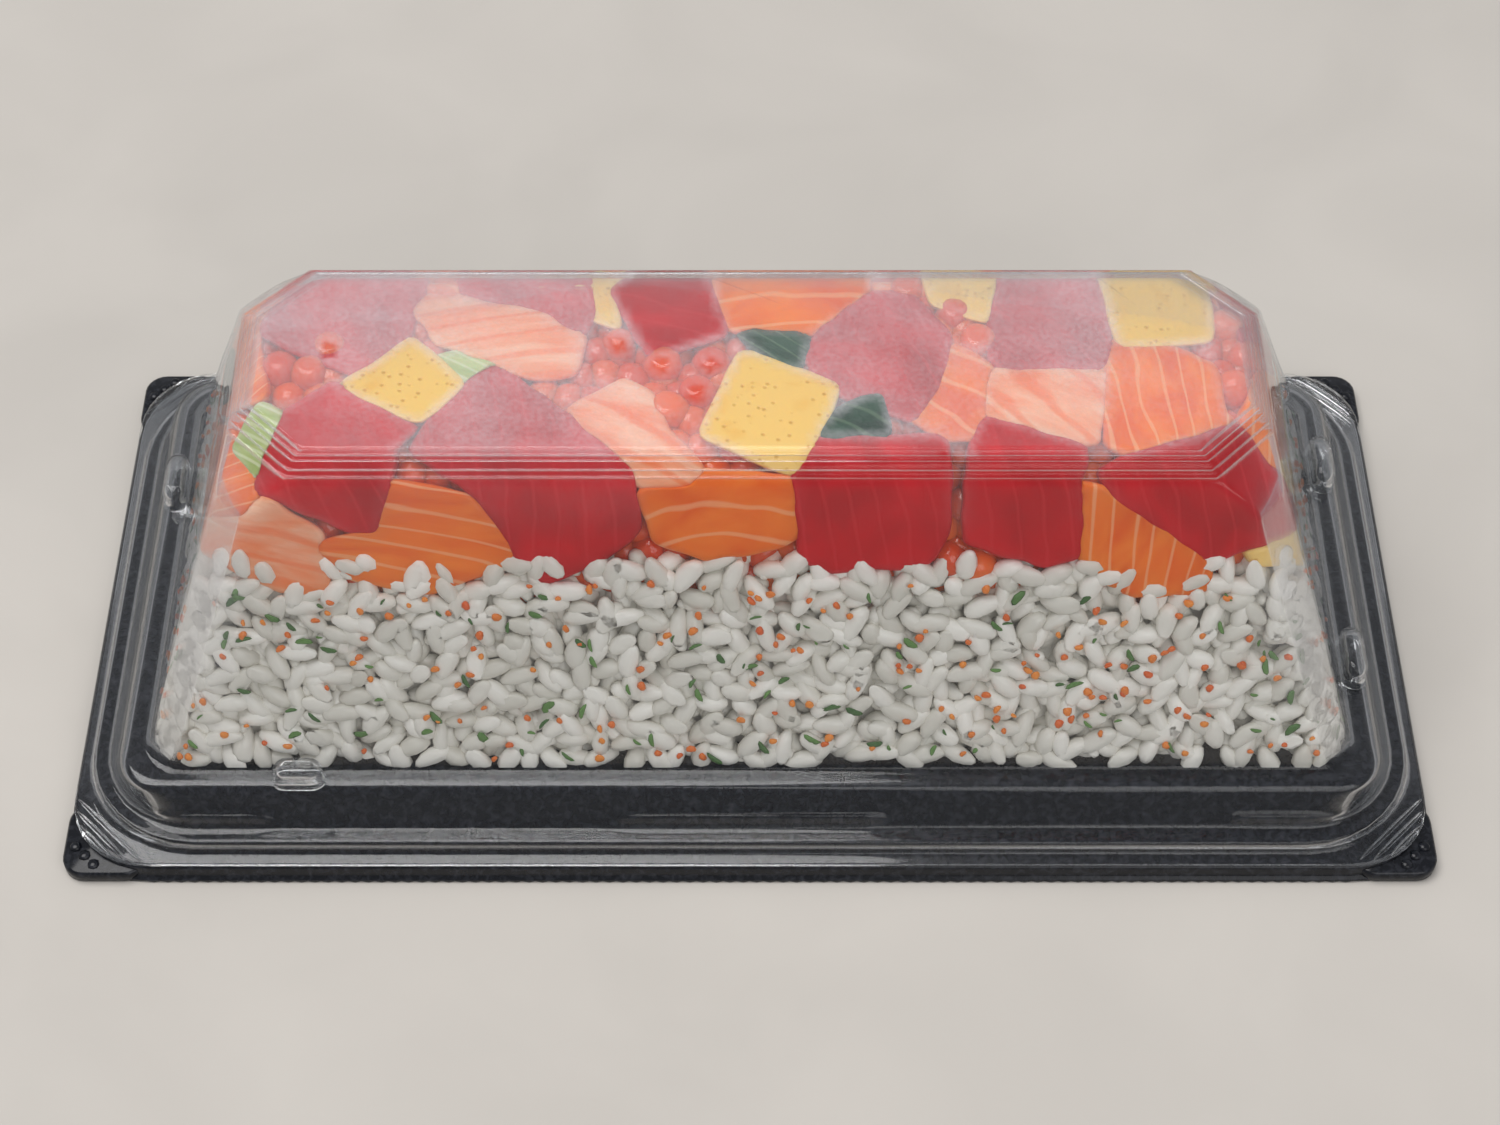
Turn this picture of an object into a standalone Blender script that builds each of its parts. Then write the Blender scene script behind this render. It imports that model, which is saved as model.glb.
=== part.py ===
"""Boxed sushi cake: a shallow black tray, a deep clear lid pressed over it, and a block of rice
under cut fish, egg, cucumber, leaves and roe. Metres, +Z up, origin under the tray's middle."""

import math
import random
from collections import namedtuple

import bmesh
import bpy
from mathutils import Matrix, Vector
from mathutils.geometry import intersect_point_line

# Driving sizes, in millimetres. Heights are above the table.
MM = 0.001
SHELF_Z = 12.4
LID_WALL = 0.5
TRAY_WALL = 0.8
GAP = 0.3
CORNER_STEPS = 4
TRAY_LIP = 0.7

# The slant at which the cake's face is laid out: outlines are drawn on a plane that leans back,
# and each topping runs straight in from that plane.
SLANT = math.radians(52.0)
ALONG = Vector((0.0, -math.cos(SLANT), math.sin(SLANT)))
UP_SLANT = Vector((0.0, math.sin(SLANT), math.cos(SLANT)))
OUTER_REACH = 72.0
INNER_REACH = 24.0
TOPPING_GAP = 0.36
LAYER_FLOOR = SHELF_Z + 28.3

ROE_RADIUS = 3.1
ROE_PITCH = 5.7
GRAIN_LENGTH = 7.2
GRAIN_WIDTH = 3.3
GRAIN_SPACING = 8.4
GRAIN_LOWEST = 4.3

CORNER_SIDES = ((1, 1), (-1, 1), (-1, -1), (1, -1))
MITER_LENGTH = 72.4

# A level ring: half sizes, the size of its cut corner, how round that corner is, and its height.
Ring = namedtuple("Ring", "x y corner roundness z")

LID_TOP = [
    Ring(75.3, 17.9, 9.0, 0.0, SHELF_Z + 52.2),
    Ring(76.6, 19.3, 9.2, 0.0, SHELF_Z + 51.0),
    Ring(78.4, 21.4, 9.5, 0.0, SHELF_Z + 48.7),
    Ring(80.0, 23.1, 4.8, 0.15, SHELF_Z + 44.0),
    Ring(95.0, 39.2, 4.8, 0.4, SHELF_Z),
]
LID_RIM = [
    Ring(99.0, 42.5, 5.5, 1.0, SHELF_Z),
    Ring(101.9, 45.4, 8.0, 1.0, SHELF_Z - 5.0),
    Ring(102.7, 46.2, 8.2, 1.0, SHELF_Z - 6.2),
    Ring(105.2, 49.0, 8.0, 1.0, SHELF_Z - 6.2),
    Ring(105.7, 49.5, 7.6, 1.0, SHELF_Z - 8.3),
    Ring(107.4, 51.6, 6.5, 1.0, SHELF_Z - 8.6),
]
TRAY_SKIRT = Ring(107.5, 51.7, 6.5, 1.0, 0.8)

# The room that the food fills, just inside the lid, and the block of rice in it.
FOOD_ROOM = [
    Ring(94.0, 38.2, 4.4, 0.3, SHELF_Z - 0.5),
    Ring(79.0, 22.1, 4.4, 0.1, SHELF_Z + 44.0),
    Ring(77.4, 20.4, 9.1, 0.0, SHELF_Z + 48.0),
    Ring(74.6, 17.2, 8.7, 0.0, SHELF_Z + 51.3),
]
RICE_BLOCK = [
    Ring(92.4, 36.6, 4.0, 0.3, SHELF_Z - 0.5),
    Ring(83.2, 26.7, 4.0, 0.3, SHELF_Z + 27.0),
    Ring(77.7, 21.1, 4.0, 0.3, SHELF_Z + 33.0),
    Ring(69.7, 12.9, 4.0, 0.3, SHELF_Z + 39.0),
    Ring(69.0, 12.2, 3.6, 0.3, SHELF_Z + 39.5),
]

# The blisters that lock the lid: middle along x and y, and half lengths.
LOCKS = [
    (-70.6, -40.7, 4.0, 2.2),
    (70.6, 40.7, 4.0, 2.2),
    (97.2, -17.8, 2.1, 5.5),
    (97.2, 22.0, 2.1, 5.0),
    (-97.2, 19.0, 2.1, 5.0),
]
LOCK_HEIGHT = 4.4

# Colours as red, green, blue, then roughness.
TRAY_BLACK = ((0.012, 0.013, 0.017), 0.22)
CLEAR = ((0.93, 0.95, 0.97), 0.05)
RICE = ((0.72, 0.70, 0.64), 0.45)
TUNA = ((0.42, 0.012, 0.018), 0.3)
SALMON = ((0.86, 0.18, 0.04), 0.3)
SHRIMP = ((0.86, 0.48, 0.34), 0.35)
EGG = ((0.88, 0.55, 0.12), 0.5)
CUCUMBER = ((0.50, 0.58, 0.26), 0.3)
LEAF = ((0.03, 0.08, 0.05), 0.45)
ROE = ((0.80, 0.10, 0.02), 0.15)

Topping = namedtuple("Topping", "name finish outline")

# Outlines as (x, height on the slant), in the order in which the pieces lie, the topmost first.
ROES = [
    Topping("roe_middle", ROE, [(-24, 45.5), (-15, 40), (-3.5, 43.5), (-2, 39), (-6.5, 30.5),
                                (-9, 27), (-12.5, 28.5), (-15.5, 34.5), (-24.5, 37.5)]),
    Topping("roe_back", ROE, [(19, 55), (26, 56), (28, 49), (37, 46), (36, 42), (31, 42),
                              (29, 44.5), (22.5, 50.5)]),
    Topping("roe_right", ROE, [(70.5, 50), (77, 50), (78, 38), (77, 31), (71, 31), (70, 38)]),
    Topping("roe_front", ROE, [(29, 13.5), (38.5, 10.5), (39, 5.5), (31.5, 5.5), (27.5, 9)]),
    Topping("roe_left", ROE, [(-74, 33), (-72, 43), (-59.5, 37.5), (-63, 36), (-67, 33)]),
]
TOPPINGS = [
    Topping("tamago_middle", EGG, [(-1.5, 40.5), (0.5, 40.5), (13, 35.5), (12, 32), (6.5, 22),
                                   (-7, 28), (-6, 30.5)]),
    Topping("leaf_middle", LEAF, [(-2, 44), (1, 44.5), (9, 43.5), (7.5, 38.5), (4, 38.5)]),
    Topping("leaf_front", LEAF, [(10, 28), (12.5, 31), (17, 33.5), (19.5, 34), (20.5, 28)]),
    Topping("tuna_left", TUNA, [(-63, 36), (-49.5, 29), (-52.5, 26), (-53.5, 21), (-56, 13.5),
                                (-61, 14.5), (-73, 20), (-72, 24), (-69, 31)]),
    Topping("tamago_left", EGG, [(-51.5, 43), (-43, 36), (-49, 30), (-61.5, 35.5), (-56.5, 38.5)]),
    Topping("tuna_left_middle", TUNA, [(-39, 39), (-26.5, 30), (-17.5, 22.5), (-16.5, 14.5),
                                       (-22.5, 9.5), (-31, 6.5), (-34.5, 9.5), (-40, 19),
                                       (-50, 25.5), (-46, 32.5)]),
    Topping("tuna_front_middle", TUNA, [(6.5, 22), (8, 27.5), (29, 27.5), (29.5, 13.5),
                                        (27, 9), (12, 8), (8, 10)]),
    Topping("tuna_middle", TUNA, [(19, 50.5), (24.5, 50.5), (30.5, 43.5), (28, 35.5),
                                  (24, 30), (12.5, 34.5), (8, 40.5), (11.5, 45)]),
    Topping("tuna_front_right", TUNA, [(35, 30.5), (49.5, 26), (48.5, 21), (49.5, 10),
                                       (44, 9), (32.5, 12.5), (32, 18), (33, 27)]),
    Topping("tuna_right", TUNA, [(51.5, 22.5), (56, 24.5), (72.5, 29.5), (77, 23.5), (89.5, 17),
                                 (87, 15.5), (69, 9.5), (61, 14.5), (54, 19)]),
    Topping("tuna_back_centre", TUNA, [(-21.5, 51), (-14, 57), (-8, 57), (-3.5, 44),
                                       (-15, 40)]),
    Topping("tuna_back_right", TUNA, [(39.5, 57), (51, 57), (54, 50.5), (54.5, 42), (53.5, 38.5),
                                      (36.5, 38.5), (36.5, 44)]),
    Topping("tamago_back_right", EGG, [(54, 57), (72, 57), (70.5, 50), (70, 43), (56, 42)]),
    Topping("shrimp_middle", SHRIMP, [(-27.5, 31.5), (-19, 36.5), (-15, 34), (-12.5, 28.5),
                                      (-7, 22.5), (-9, 20.5), (-16, 20)]),
    Topping("shrimp_right", SHRIMP, [(36.5, 38), (53.5, 38.5), (51.5, 26.5), (42.5, 28), (35, 30.5)]),
    Topping("salmon_right", SALMON, [(54, 42.5), (63, 42), (70, 39), (70.5, 31), (72, 29.5),
                                     (56, 25), (52.5, 26.5)]),
    Topping("salmon_pale", SALMON, [(31, 42), (36.5, 38.5), (35, 30.5), (33, 27.5), (29, 27.5),
                                    (24, 30.5), (28, 35.5)]),
    Topping("salmon_back_centre", SALMON, [(-6.5, 57), (18, 57), (18.5, 50.5), (11.5, 45.5),
                                           (8.5, 43.5), (-3.5, 44.5)]),
    Topping("tamago_back_middle", EGG, [(26.5, 57), (40, 57), (36.5, 46), (28, 49)]),
    Topping("shrimp_back_left", SHRIMP, [(-51.5, 47.5), (-49.5, 50), (-42, 49), (-33, 47.5),
                                         (-25.5, 43.5), (-26.5, 37.5), (-33, 37), (-47, 42.5)]),
    Topping("tuna_back_middle", TUNA, [(-44.5, 51), (-45, 57), (-25.5, 57), (-24, 46.5), (-26, 43.5),
                                       (-33, 47.5)]),
    Topping("tamago_back_left", EGG, [(-25.5, 57), (-18, 57), (-21.5, 50.5), (-20, 45), (-24, 46.5)]),
    Topping("cucumber_middle", CUCUMBER, [(-47.5, 40), (-40.5, 41.5), (-37.5, 38.5), (-43, 36)]),
    Topping("cucumber_left", CUCUMBER, [(-73, 32.5), (-69.5, 31), (-71, 24), (-73, 21.5), (-77, 26)]),
    Topping("tuna_back_left", TUNA, [(-75, 44), (-71, 57), (-50.5, 57), (-51, 48.5), (-52.5, 43),
                                     (-58.5, 37)]),
    Topping("salmon_front_left", SALMON, [(-65, 11.5), (-56, 13.5), (-53.5, 21), (-41.5, 19),
                                          (-34.5, 9.5), (-43.5, 6.5), (-48.5, 4.5), (-60, 7)]),
    Topping("salmon_front_middle", SALMON, [(-16.5, 19.5), (-7.5, 22.5), (6.5, 21.5), (7.5, 13.5),
                                            (3, 11.5), (-6.5, 10), (-14, 12.5)]),
    Topping("salmon_front_right", SALMON, [(48.5, 21), (54, 19), (69, 9.5), (69, 5), (57.5, 4),
                                           (49.5, 9.5)]),
    Topping("shrimp_front_left", SHRIMP, [(-90, 15.5), (-75, 15.5), (-72, 18.5), (-64, 13.5),
                                          (-64, 4), (-71, 5), (-79, 9)]),
    Topping("tamago_right_end", EGG, [(80, 24), (93, 27), (99, 10), (76, 9), (74, 12), (89, 16)]),
    Topping("salmon_right_end", SALMON, [(77, 38), (95, 40), (93, 26), (77.5, 23.5), (73.5, 30)]),
    Topping("tuna_corner", TUNA, [(73, 60), (95, 60), (95, 41), (77, 39), (73, 50)]),
    Topping("salmon_left_end", SALMON, [(-93, 33), (-77, 28), (-72.5, 22), (-72, 18.5), (-75, 15.5),
                                        (-93, 15.5)]),
    Topping("leaf_left_end", LEAF, [(-97, 38), (-97, 47), (-82, 43), (-80.5, 34.5), (-93, 34.5)]),
    Topping("salmon_back_left", SALMON, [(-101, 60), (-72.5, 60), (-75.5, 43.5), (-72.5, 33.5),
                                         (-80, 32), (-97, 38)]),
]
# The far side, laid out in the same way from behind.
BACK_TOPPINGS = [
    Topping("rear_tuna_a", TUNA, [(-70, 26), (-54, 26), (-53, 8), (-63, 5), (-70, 9)]),
    Topping("rear_salmon_a", SALMON, [(-53, 26), (-37, 26), (-35, 9), (-45, 5), (-53, 10)]),
    Topping("rear_tamago_a", EGG, [(-36.5, 26), (-20, 26), (-18, 11), (-31, 7)]),
    Topping("rear_shrimp", SHRIMP, [(-19.5, 26), (-3, 26), (0, 9), (-9, 5), (-17, 9)]),
    Topping("rear_tuna_b", TUNA, [(-2.5, 26), (17, 26), (18, 10), (8, 5), (1, 9)]),
    Topping("rear_salmon_b", SALMON, [(18, 26), (36, 26), (35, 8), (26, 6), (19, 10)]),
    Topping("rear_tamago_b", EGG, [(37, 26), (52, 26), (54, 9), (43, 6), (36, 11)]),
    Topping("rear_tuna_c", TUNA, [(53, 26), (70, 26), (70, 8), (62, 5), (55, 9)]),
]


def clear_scene():
    for obj in list(bpy.data.objects):
        bpy.data.objects.remove(obj, do_unlink=True)


def material_of(name, finish):
    """One Principled material for the object called name."""
    colour, roughness = finish
    material = bpy.data.materials.new(name)
    material.use_nodes = True
    shader = material.node_tree.nodes["Principled BSDF"]
    shader.inputs["Base Color"].default_value = (*colour, 1.0)
    shader.inputs["Roughness"].default_value = roughness
    shader.inputs["Metallic"].default_value = 0.0
    return material


def object_of(name, points, faces):
    """A mesh object from points in millimetres, its faces turned outward."""
    mesh = bpy.data.meshes.new(name)
    mesh.from_pydata([Vector(p) * MM for p in points], [], faces)
    shape = bmesh.new()
    shape.from_mesh(mesh)
    bmesh.ops.recalc_face_normals(shape, faces=shape.faces)
    shape.to_mesh(mesh)
    shape.free()
    obj = bpy.data.objects.new(name, mesh)
    bpy.context.scene.collection.objects.link(obj)
    return obj


def ring_points(ring):
    """The ring's corners, each a cut from a straight chamfer to a quarter circle."""
    points = []
    for turn, side in enumerate(CORNER_SIDES):
        for step in range(CORNER_STEPS + 1):
            share = step / CORNER_STEPS
            if turn % 2:
                share = 1.0 - share
            angle = share * math.pi / 2
            across = (1 - ring.roundness) * (1 - share) + ring.roundness * math.cos(angle)
            deep = (1 - ring.roundness) * share + ring.roundness * math.sin(angle)
            x = side[0] * (ring.x - ring.corner + ring.corner * across)
            y = side[1] * (ring.y - ring.corner + ring.corner * deep)
            points.append((x, y, ring.z))
    return points


def lofted(name, rings):
    """A closed solid through the rings, flat at the first and the last."""
    points = [p for ring in rings for p in ring_points(ring)]
    count = 4 * (CORNER_STEPS + 1)
    faces = [list(range(count))]
    for level in range(len(rings) - 1):
        low, high = level * count, (level + 1) * count
        for i in range(count):
            after = (i + 1) % count
            faces.append((low + i, low + after, high + after, high + i))
    faces.append([(len(rings) - 1) * count + i for i in range(count)])
    return object_of(name, points, faces)


def offset_rings(rings, depth):
    """The rings moved inward by depth, square to the profile that they draw."""
    profile = [Vector((ring.y, ring.z)) for ring in rings]
    moved = []
    for i, ring in enumerate(rings):
        normals = []
        for a, b in ((i - 1, i), (i, i + 1)):
            if a < 0 or b >= len(rings):
                continue
            run = (profile[b] - profile[a]).normalized()
            normals.append(Vector((-run.y, run.x)))
        first, last = normals[0], normals[-1]
        shift = (first + last) * (depth / (1 + first.dot(last)))
        corner = max(ring.corner + 0.6 * shift.x, 1.0)
        moved.append(Ring(ring.x + shift.x, ring.y + shift.x, corner, ring.roundness, ring.z + shift.y))
    return moved


def inward(rings, depth):
    """offset_rings for a profile that runs from the middle outward and down."""
    moved = offset_rings(rings, -depth)
    if moved[1].z > rings[1].z:
        moved = offset_rings(rings, depth)
    return moved


def with_modifiers_applied(obj):
    """Puts what the modifiers make into the object's own mesh."""
    bpy.context.view_layer.update()
    graph = bpy.context.evaluated_depsgraph_get()
    mesh = bpy.data.meshes.new_from_object(obj.evaluated_get(graph))
    obj.modifiers.clear()
    obj.data = mesh
    return obj


def combine(obj, operation, others):
    """Joins, cuts or crosses obj with each of the others."""
    for other in others:
        modifier = obj.modifiers.new(operation, "BOOLEAN")
        modifier.operation = operation
        modifier.solver = "EXACT"
        modifier.object = other
    return with_modifiers_applied(obj)


def islands(shape):
    """The sets of faces of a bmesh that hang together."""
    left = set(shape.faces)
    found = []
    while left:
        queue = [left.pop()]
        island = list(queue)
        while queue:
            for edge in queue.pop().edges:
                for face in edge.link_faces:
                    if face in left:
                        left.remove(face)
                        island.append(face)
                        queue.append(face)
        found.append(island)
    return found


def drop_scraps(obj):
    """Keeps the body with the largest surface."""
    shape = bmesh.new()
    shape.from_mesh(obj.data)
    found = sorted(islands(shape), key=lambda island: sum(f.calc_area() for f in island))
    for island in found[:-1]:
        bmesh.ops.delete(shape, geom=island, context="FACES")
    shape.to_mesh(obj.data)
    shape.free()


def finish(obj, name, look):
    """Names the object's material and hangs the object on the cake's empty."""
    obj.data.materials.clear()
    obj.data.materials.append(material_of(name, look))
    obj.parent = bpy.data.objects["sushi_cake"]


def area_of(outline):
    return sum(a[0] * b[1] - b[0] * a[1] for a, b in zip(outline, outline[1:] + outline[:1])) / 2


def grown(outline, by):
    """The outline with every side moved out."""
    turn = 1 if area_of(outline) > 0 else -1
    corners = [Vector(p) for p in outline]
    moved = []
    for i, corner in enumerate(corners):
        before = (corner - corners[i - 1]).normalized()
        after = (corners[(i + 1) % len(corners)] - corner).normalized()
        first = Vector((before.y, -before.x)) * turn
        second = Vector((after.y, -after.x)) * turn
        moved.append(corner + (first + second) * (by / max(1 + first.dot(second), 0.35)))
    return moved


def slanted(x, height, reach, rear=False):
    """A point from its place on the slanted plane and its reach towards the viewer."""
    point = Vector((x, 0.0, 0.0)) + UP_SLANT * height + ALONG * reach
    if rear:
        point.y = -point.y
    return point


def prism(name, outline, rear=False, longer=0.0):
    """The outline run straight in through the layer of toppings, longer at both ends for a cutter."""
    count = len(outline)
    points = [slanted(x, h, OUTER_REACH + longer, rear) for x, h in outline]
    points += [slanted(x, h, INNER_REACH - longer, rear) for x, h in outline]
    faces = [list(range(count)), [count + i for i in range(count)]]
    for i in range(count):
        after = (i + 1) % count
        faces.append((i, after, count + after, count + i))
    return object_of(name, points, faces)


def near(first, second):
    """True if the outlines' boxes come within the gap of each other."""
    for axis in (0, 1):
        a = [p[axis] for p in first]
        b = [p[axis] for p in second]
        if min(a) - TOPPING_GAP > max(b) or min(b) - TOPPING_GAP > max(a):
            return False
    return True


def miter_wedge(name, rear):
    """What lies beyond the slanting plane between the top layer and the rear one."""
    foot = Vector((0.0, RICE_BLOCK[-2].y, RICE_BLOCK[-1].z))
    edge = Vector((0.0, (FOOD_ROOM[2].y + FOOD_ROOM[3].y) / 2, (FOOD_ROOM[2].z + FOOD_ROOM[3].z) / 2))
    run = (edge - foot).normalized()
    side = Vector((0.0, run.z, -run.y)) * (-1 if rear else 1)
    reach = FOOD_ROOM[0].y * 1.5
    start = foot - run * reach - side * TOPPING_GAP / 2
    end = foot + run * reach - side * TOPPING_GAP / 2
    points = []
    for x in (-MITER_LENGTH, MITER_LENGTH):
        for corner in (start, end, end + side * reach, start + side * reach):
            points.append((x, corner.y, corner.z))
    faces = [(0, 1, 2, 3), (4, 5, 6, 7), (0, 1, 5, 4), (1, 2, 6, 5), (2, 3, 7, 6), (3, 0, 4, 7)]
    return object_of(name, points, faces)


def layer_room(name, depth):
    """The food's room from the layer's floor up, shrunk by depth."""
    foot, waist = FOOD_ROOM[0], FOOD_ROOM[1]
    share = (LAYER_FLOOR - foot.z) / (waist.z - foot.z)
    low = Ring(
        foot.x + (waist.x - foot.x) * share,
        foot.y + (waist.y - foot.y) * share,
        foot.corner,
        foot.roundness,
        LAYER_FLOOR,
    )
    rings = [low, *FOOD_ROOM[1:]]
    return lofted(name, [
        ring._replace(x=ring.x - depth, y=ring.y - depth, z=ring.z - (depth if i else 0))
        for i, ring in enumerate(rings)
    ])


def grown_rice(name):
    """The rice block with the gap that the toppings keep to it."""
    return lofted(name, [
        ring._replace(x=ring.x + TOPPING_GAP, y=ring.y + TOPPING_GAP, z=ring.z + (TOPPING_GAP if i > 2 else 0))
        for i, ring in enumerate(RICE_BLOCK)
    ])


def roe_centres(outline):
    """Places for the eggs, in staggered rows, where a whole egg stays inside the outline."""
    xs = [p[0] for p in outline]
    hs = [p[1] for p in outline]
    centres = []
    row = 0
    height = min(hs) + ROE_RADIUS
    while height < max(hs):
        x = min(xs) + ROE_RADIUS + (row % 2) * ROE_PITCH / 2
        while x < max(xs):
            if room_at(outline, x, height) > ROE_RADIUS * 0.92:
                centres.append((x, height))
            x += ROE_PITCH
        height += ROE_PITCH * 0.87
        row += 1
    return centres


def room_at(outline, x, height):
    """How far the point is inside the outline, or less than nothing outside it."""
    point = Vector((x, height, 0.0))
    inside = False
    least = math.inf
    for a, b in zip(outline, outline[1:] + outline[:1]):
        if (a[1] > height) != (b[1] > height):
            if x < a[0] + (height - a[1]) * (b[0] - a[0]) / (b[1] - a[1]):
                inside = not inside
        start, end = Vector((*a, 0.0)), Vector((*b, 0.0))
        foot, share = intersect_point_line(point, start, end)
        foot = start.lerp(end, min(max(share, 0.0), 1.0))
        least = min(least, (point - foot).length)
    return least if inside else -least


def egg_centre(x, height, room):
    """Where an egg at this place on the slanted plane lies to touch the room's surface, or None."""
    start = slanted(x, height, OUTER_REACH) * MM
    found, place, normal, face = room.ray_cast(start, -ALONG)
    if not found:
        return None
    return place / MM - ALONG * ((ROE_RADIUS + 0.1) / max(normal.dot(ALONG), 0.3))


def egg_at(name, centre):
    """One round egg of low detail."""
    shape = bmesh.new()
    bmesh.ops.create_icosphere(shape, subdivisions=2, radius=ROE_RADIUS)
    points = [vert.co + centre for vert in shape.verts]
    faces = [[vert.index for vert in face.verts] for face in shape.faces]
    shape.free()
    return object_of(name, points, faces)


def build_toppings(rice_cutter):
    """Cuts each topping out of the layer between the rice and the lid."""
    room = layer_room("room", 0.0)
    bed = layer_room("bed", ROE_RADIUS)
    beyond_top = miter_wedge("beyond_top", False)
    beyond_rear = miter_wedge("beyond_rear", True)
    helpers = [room, bed, beyond_top, beyond_rear]
    cutters = []
    for topping in ROES + TOPPINGS:
        neighbours = [cutter for outline, cutter in cutters if near(outline, topping.outline)]
        obj = prism(topping.name, topping.outline)
        if neighbours:
            combine(obj, "DIFFERENCE", neighbours)
        if topping.finish is ROE:
            combine(obj, "INTERSECT", [bed])
        else:
            combine(obj, "INTERSECT", [room])
        combine(obj, "DIFFERENCE", [rice_cutter, beyond_top])
        if topping.finish is ROE:
            add_eggs(obj, topping, room)
        drop_scraps(obj)
        finish(obj, topping.name, topping.finish)
        cutter = prism("cutter", grown(topping.outline, TOPPING_GAP), longer=3.0)
        cutters.append((topping.outline, cutter))
        helpers.append(cutter)
    for topping in BACK_TOPPINGS:
        obj = prism(topping.name, grown(topping.outline, -TOPPING_GAP / 2), rear=True)
        combine(obj, "INTERSECT", [room])
        combine(obj, "DIFFERENCE", [rice_cutter, beyond_rear])
        drop_scraps(obj)
        finish(obj, topping.name, topping.finish)
    for helper in helpers:
        bpy.data.objects.remove(helper, do_unlink=True)


def add_eggs(obj, topping, room):
    """Joins the eggs that show to their bed."""
    eggs = []
    for x, height in roe_centres(topping.outline):
        centre = egg_centre(x, height, room)
        if centre is not None:
            eggs.append(egg_at("egg", centre))
    if eggs:
        combine(obj, "UNION", eggs)
    for egg in eggs:
        bpy.data.objects.remove(egg, do_unlink=True)


def grain_mesh():
    """A rice grain: a long, low ball with six sides and four bands."""
    shape = bmesh.new()
    bmesh.ops.create_uvsphere(shape, u_segments=6, v_segments=4, radius=0.5)
    for vert in shape.verts:
        vert.co = Vector((vert.co.x * GRAIN_WIDTH, vert.co.y * GRAIN_WIDTH, vert.co.z * GRAIN_LENGTH))
    mesh = bpy.data.meshes.new("grain")
    shape.to_mesh(mesh)
    shape.free()
    return mesh


def grain_rows():
    """Places on the rice block's four sides: a point, the outward direction and the way along."""
    places = []
    lowest = GRAIN_LOWEST / (RICE_BLOCK[1].z - RICE_BLOCK[0].z)
    for low, high, shares in (
        (RICE_BLOCK[0], RICE_BLOCK[1], [lowest + (0.93 - lowest) * row / 3 for row in range(4)]),
        (RICE_BLOCK[1], RICE_BLOCK[2], [0.5]),
    ):
        for row, share in enumerate(shares):
            half_x = low.x + (high.x - low.x) * share
            half_y = low.y + (high.y - low.y) * share
            z = low.z + (high.z - low.z) * share
            out = Vector((0.0, high.z - low.z, low.y - high.y)).normalized()
            for half, other, turned in ((half_x, half_y, False), (half_y, half_x, True)):
                count = int(2 * (half - GRAIN_LENGTH * 0.6) / GRAIN_SPACING)
                for i in range(count + 1):
                    along = (i - count / 2) * GRAIN_SPACING + (row % 2) * GRAIN_SPACING / 3
                    if abs(along) > half - GRAIN_LENGTH * 0.75:
                        continue
                    for sign in (-1, 1):
                        if turned:
                            point = Vector((sign * other, along, z))
                            normal = Vector((sign * out.y, 0.0, out.z))
                            way = Vector((0.0, 1.0, 0.0))
                        else:
                            point = Vector((along, sign * other, z))
                            normal = Vector((0.0, sign * out.y, out.z))
                            way = Vector((1.0, 0.0, 0.0))
                        places.append((point, normal, way))
    return places


def clear_of_toppings(point):
    """True where no topping comes within a grain's reach."""
    rear = point.y > 0 and abs(point.x) < 70
    place = Vector((point.x, -point.y if rear else point.y, point.z))
    height = place.dot(UP_SLANT)
    layout = BACK_TOPPINGS if rear else ROES + TOPPINGS
    if point.z < LAYER_FLOOR - GRAIN_LENGTH * 0.5:
        return True
    return all(room_at(t.outline, place.x, height) < -GRAIN_LENGTH * 0.55 for t in layout)


def build_rice():
    """The rice block with the grains that show fused on."""
    draw = random.Random(7)
    rice = lofted("rice", RICE_BLOCK)
    grains = bpy.data.collections.new("grains")
    bpy.context.scene.collection.children.link(grains)
    mesh = grain_mesh()
    for point, normal, way in grain_rows():
        point = point + way * draw.uniform(-1.0, 1.0)
        point.z += draw.uniform(-0.7, 0.7)
        if not clear_of_toppings(point):
            continue
        turn = draw.uniform(0.0, math.pi)
        across = normal.cross(way)
        length = (way * math.cos(turn) + across * math.sin(turn)).normalized()
        size = draw.uniform(0.88, 1.0)
        grain = bpy.data.objects.new("grain", mesh)
        width = length.cross(normal)
        grain.matrix_world = frame_of(width * size, normal * size, length * size, point - normal * 0.15)
        grains.objects.link(grain)
    modifier = rice.modifiers.new("grains", "BOOLEAN")
    modifier.operation = "UNION"
    modifier.operand_type = "COLLECTION"
    modifier.collection = grains
    modifier.solver = "EXACT"
    with_modifiers_applied(rice)
    for grain in list(grains.objects):
        bpy.data.objects.remove(grain, do_unlink=True)
    bpy.data.collections.remove(grains)
    drop_scraps(rice)
    finish(rice, "rice", RICE)


def frame_of(x_axis, y_axis, z_axis, origin):
    """A matrix with the three axes as columns, and the origin in metres."""
    turn = Matrix((x_axis, y_axis, z_axis)).transposed().to_4x4()
    return Matrix.Translation(origin * MM) @ turn @ Matrix.Scale(MM, 4)


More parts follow.
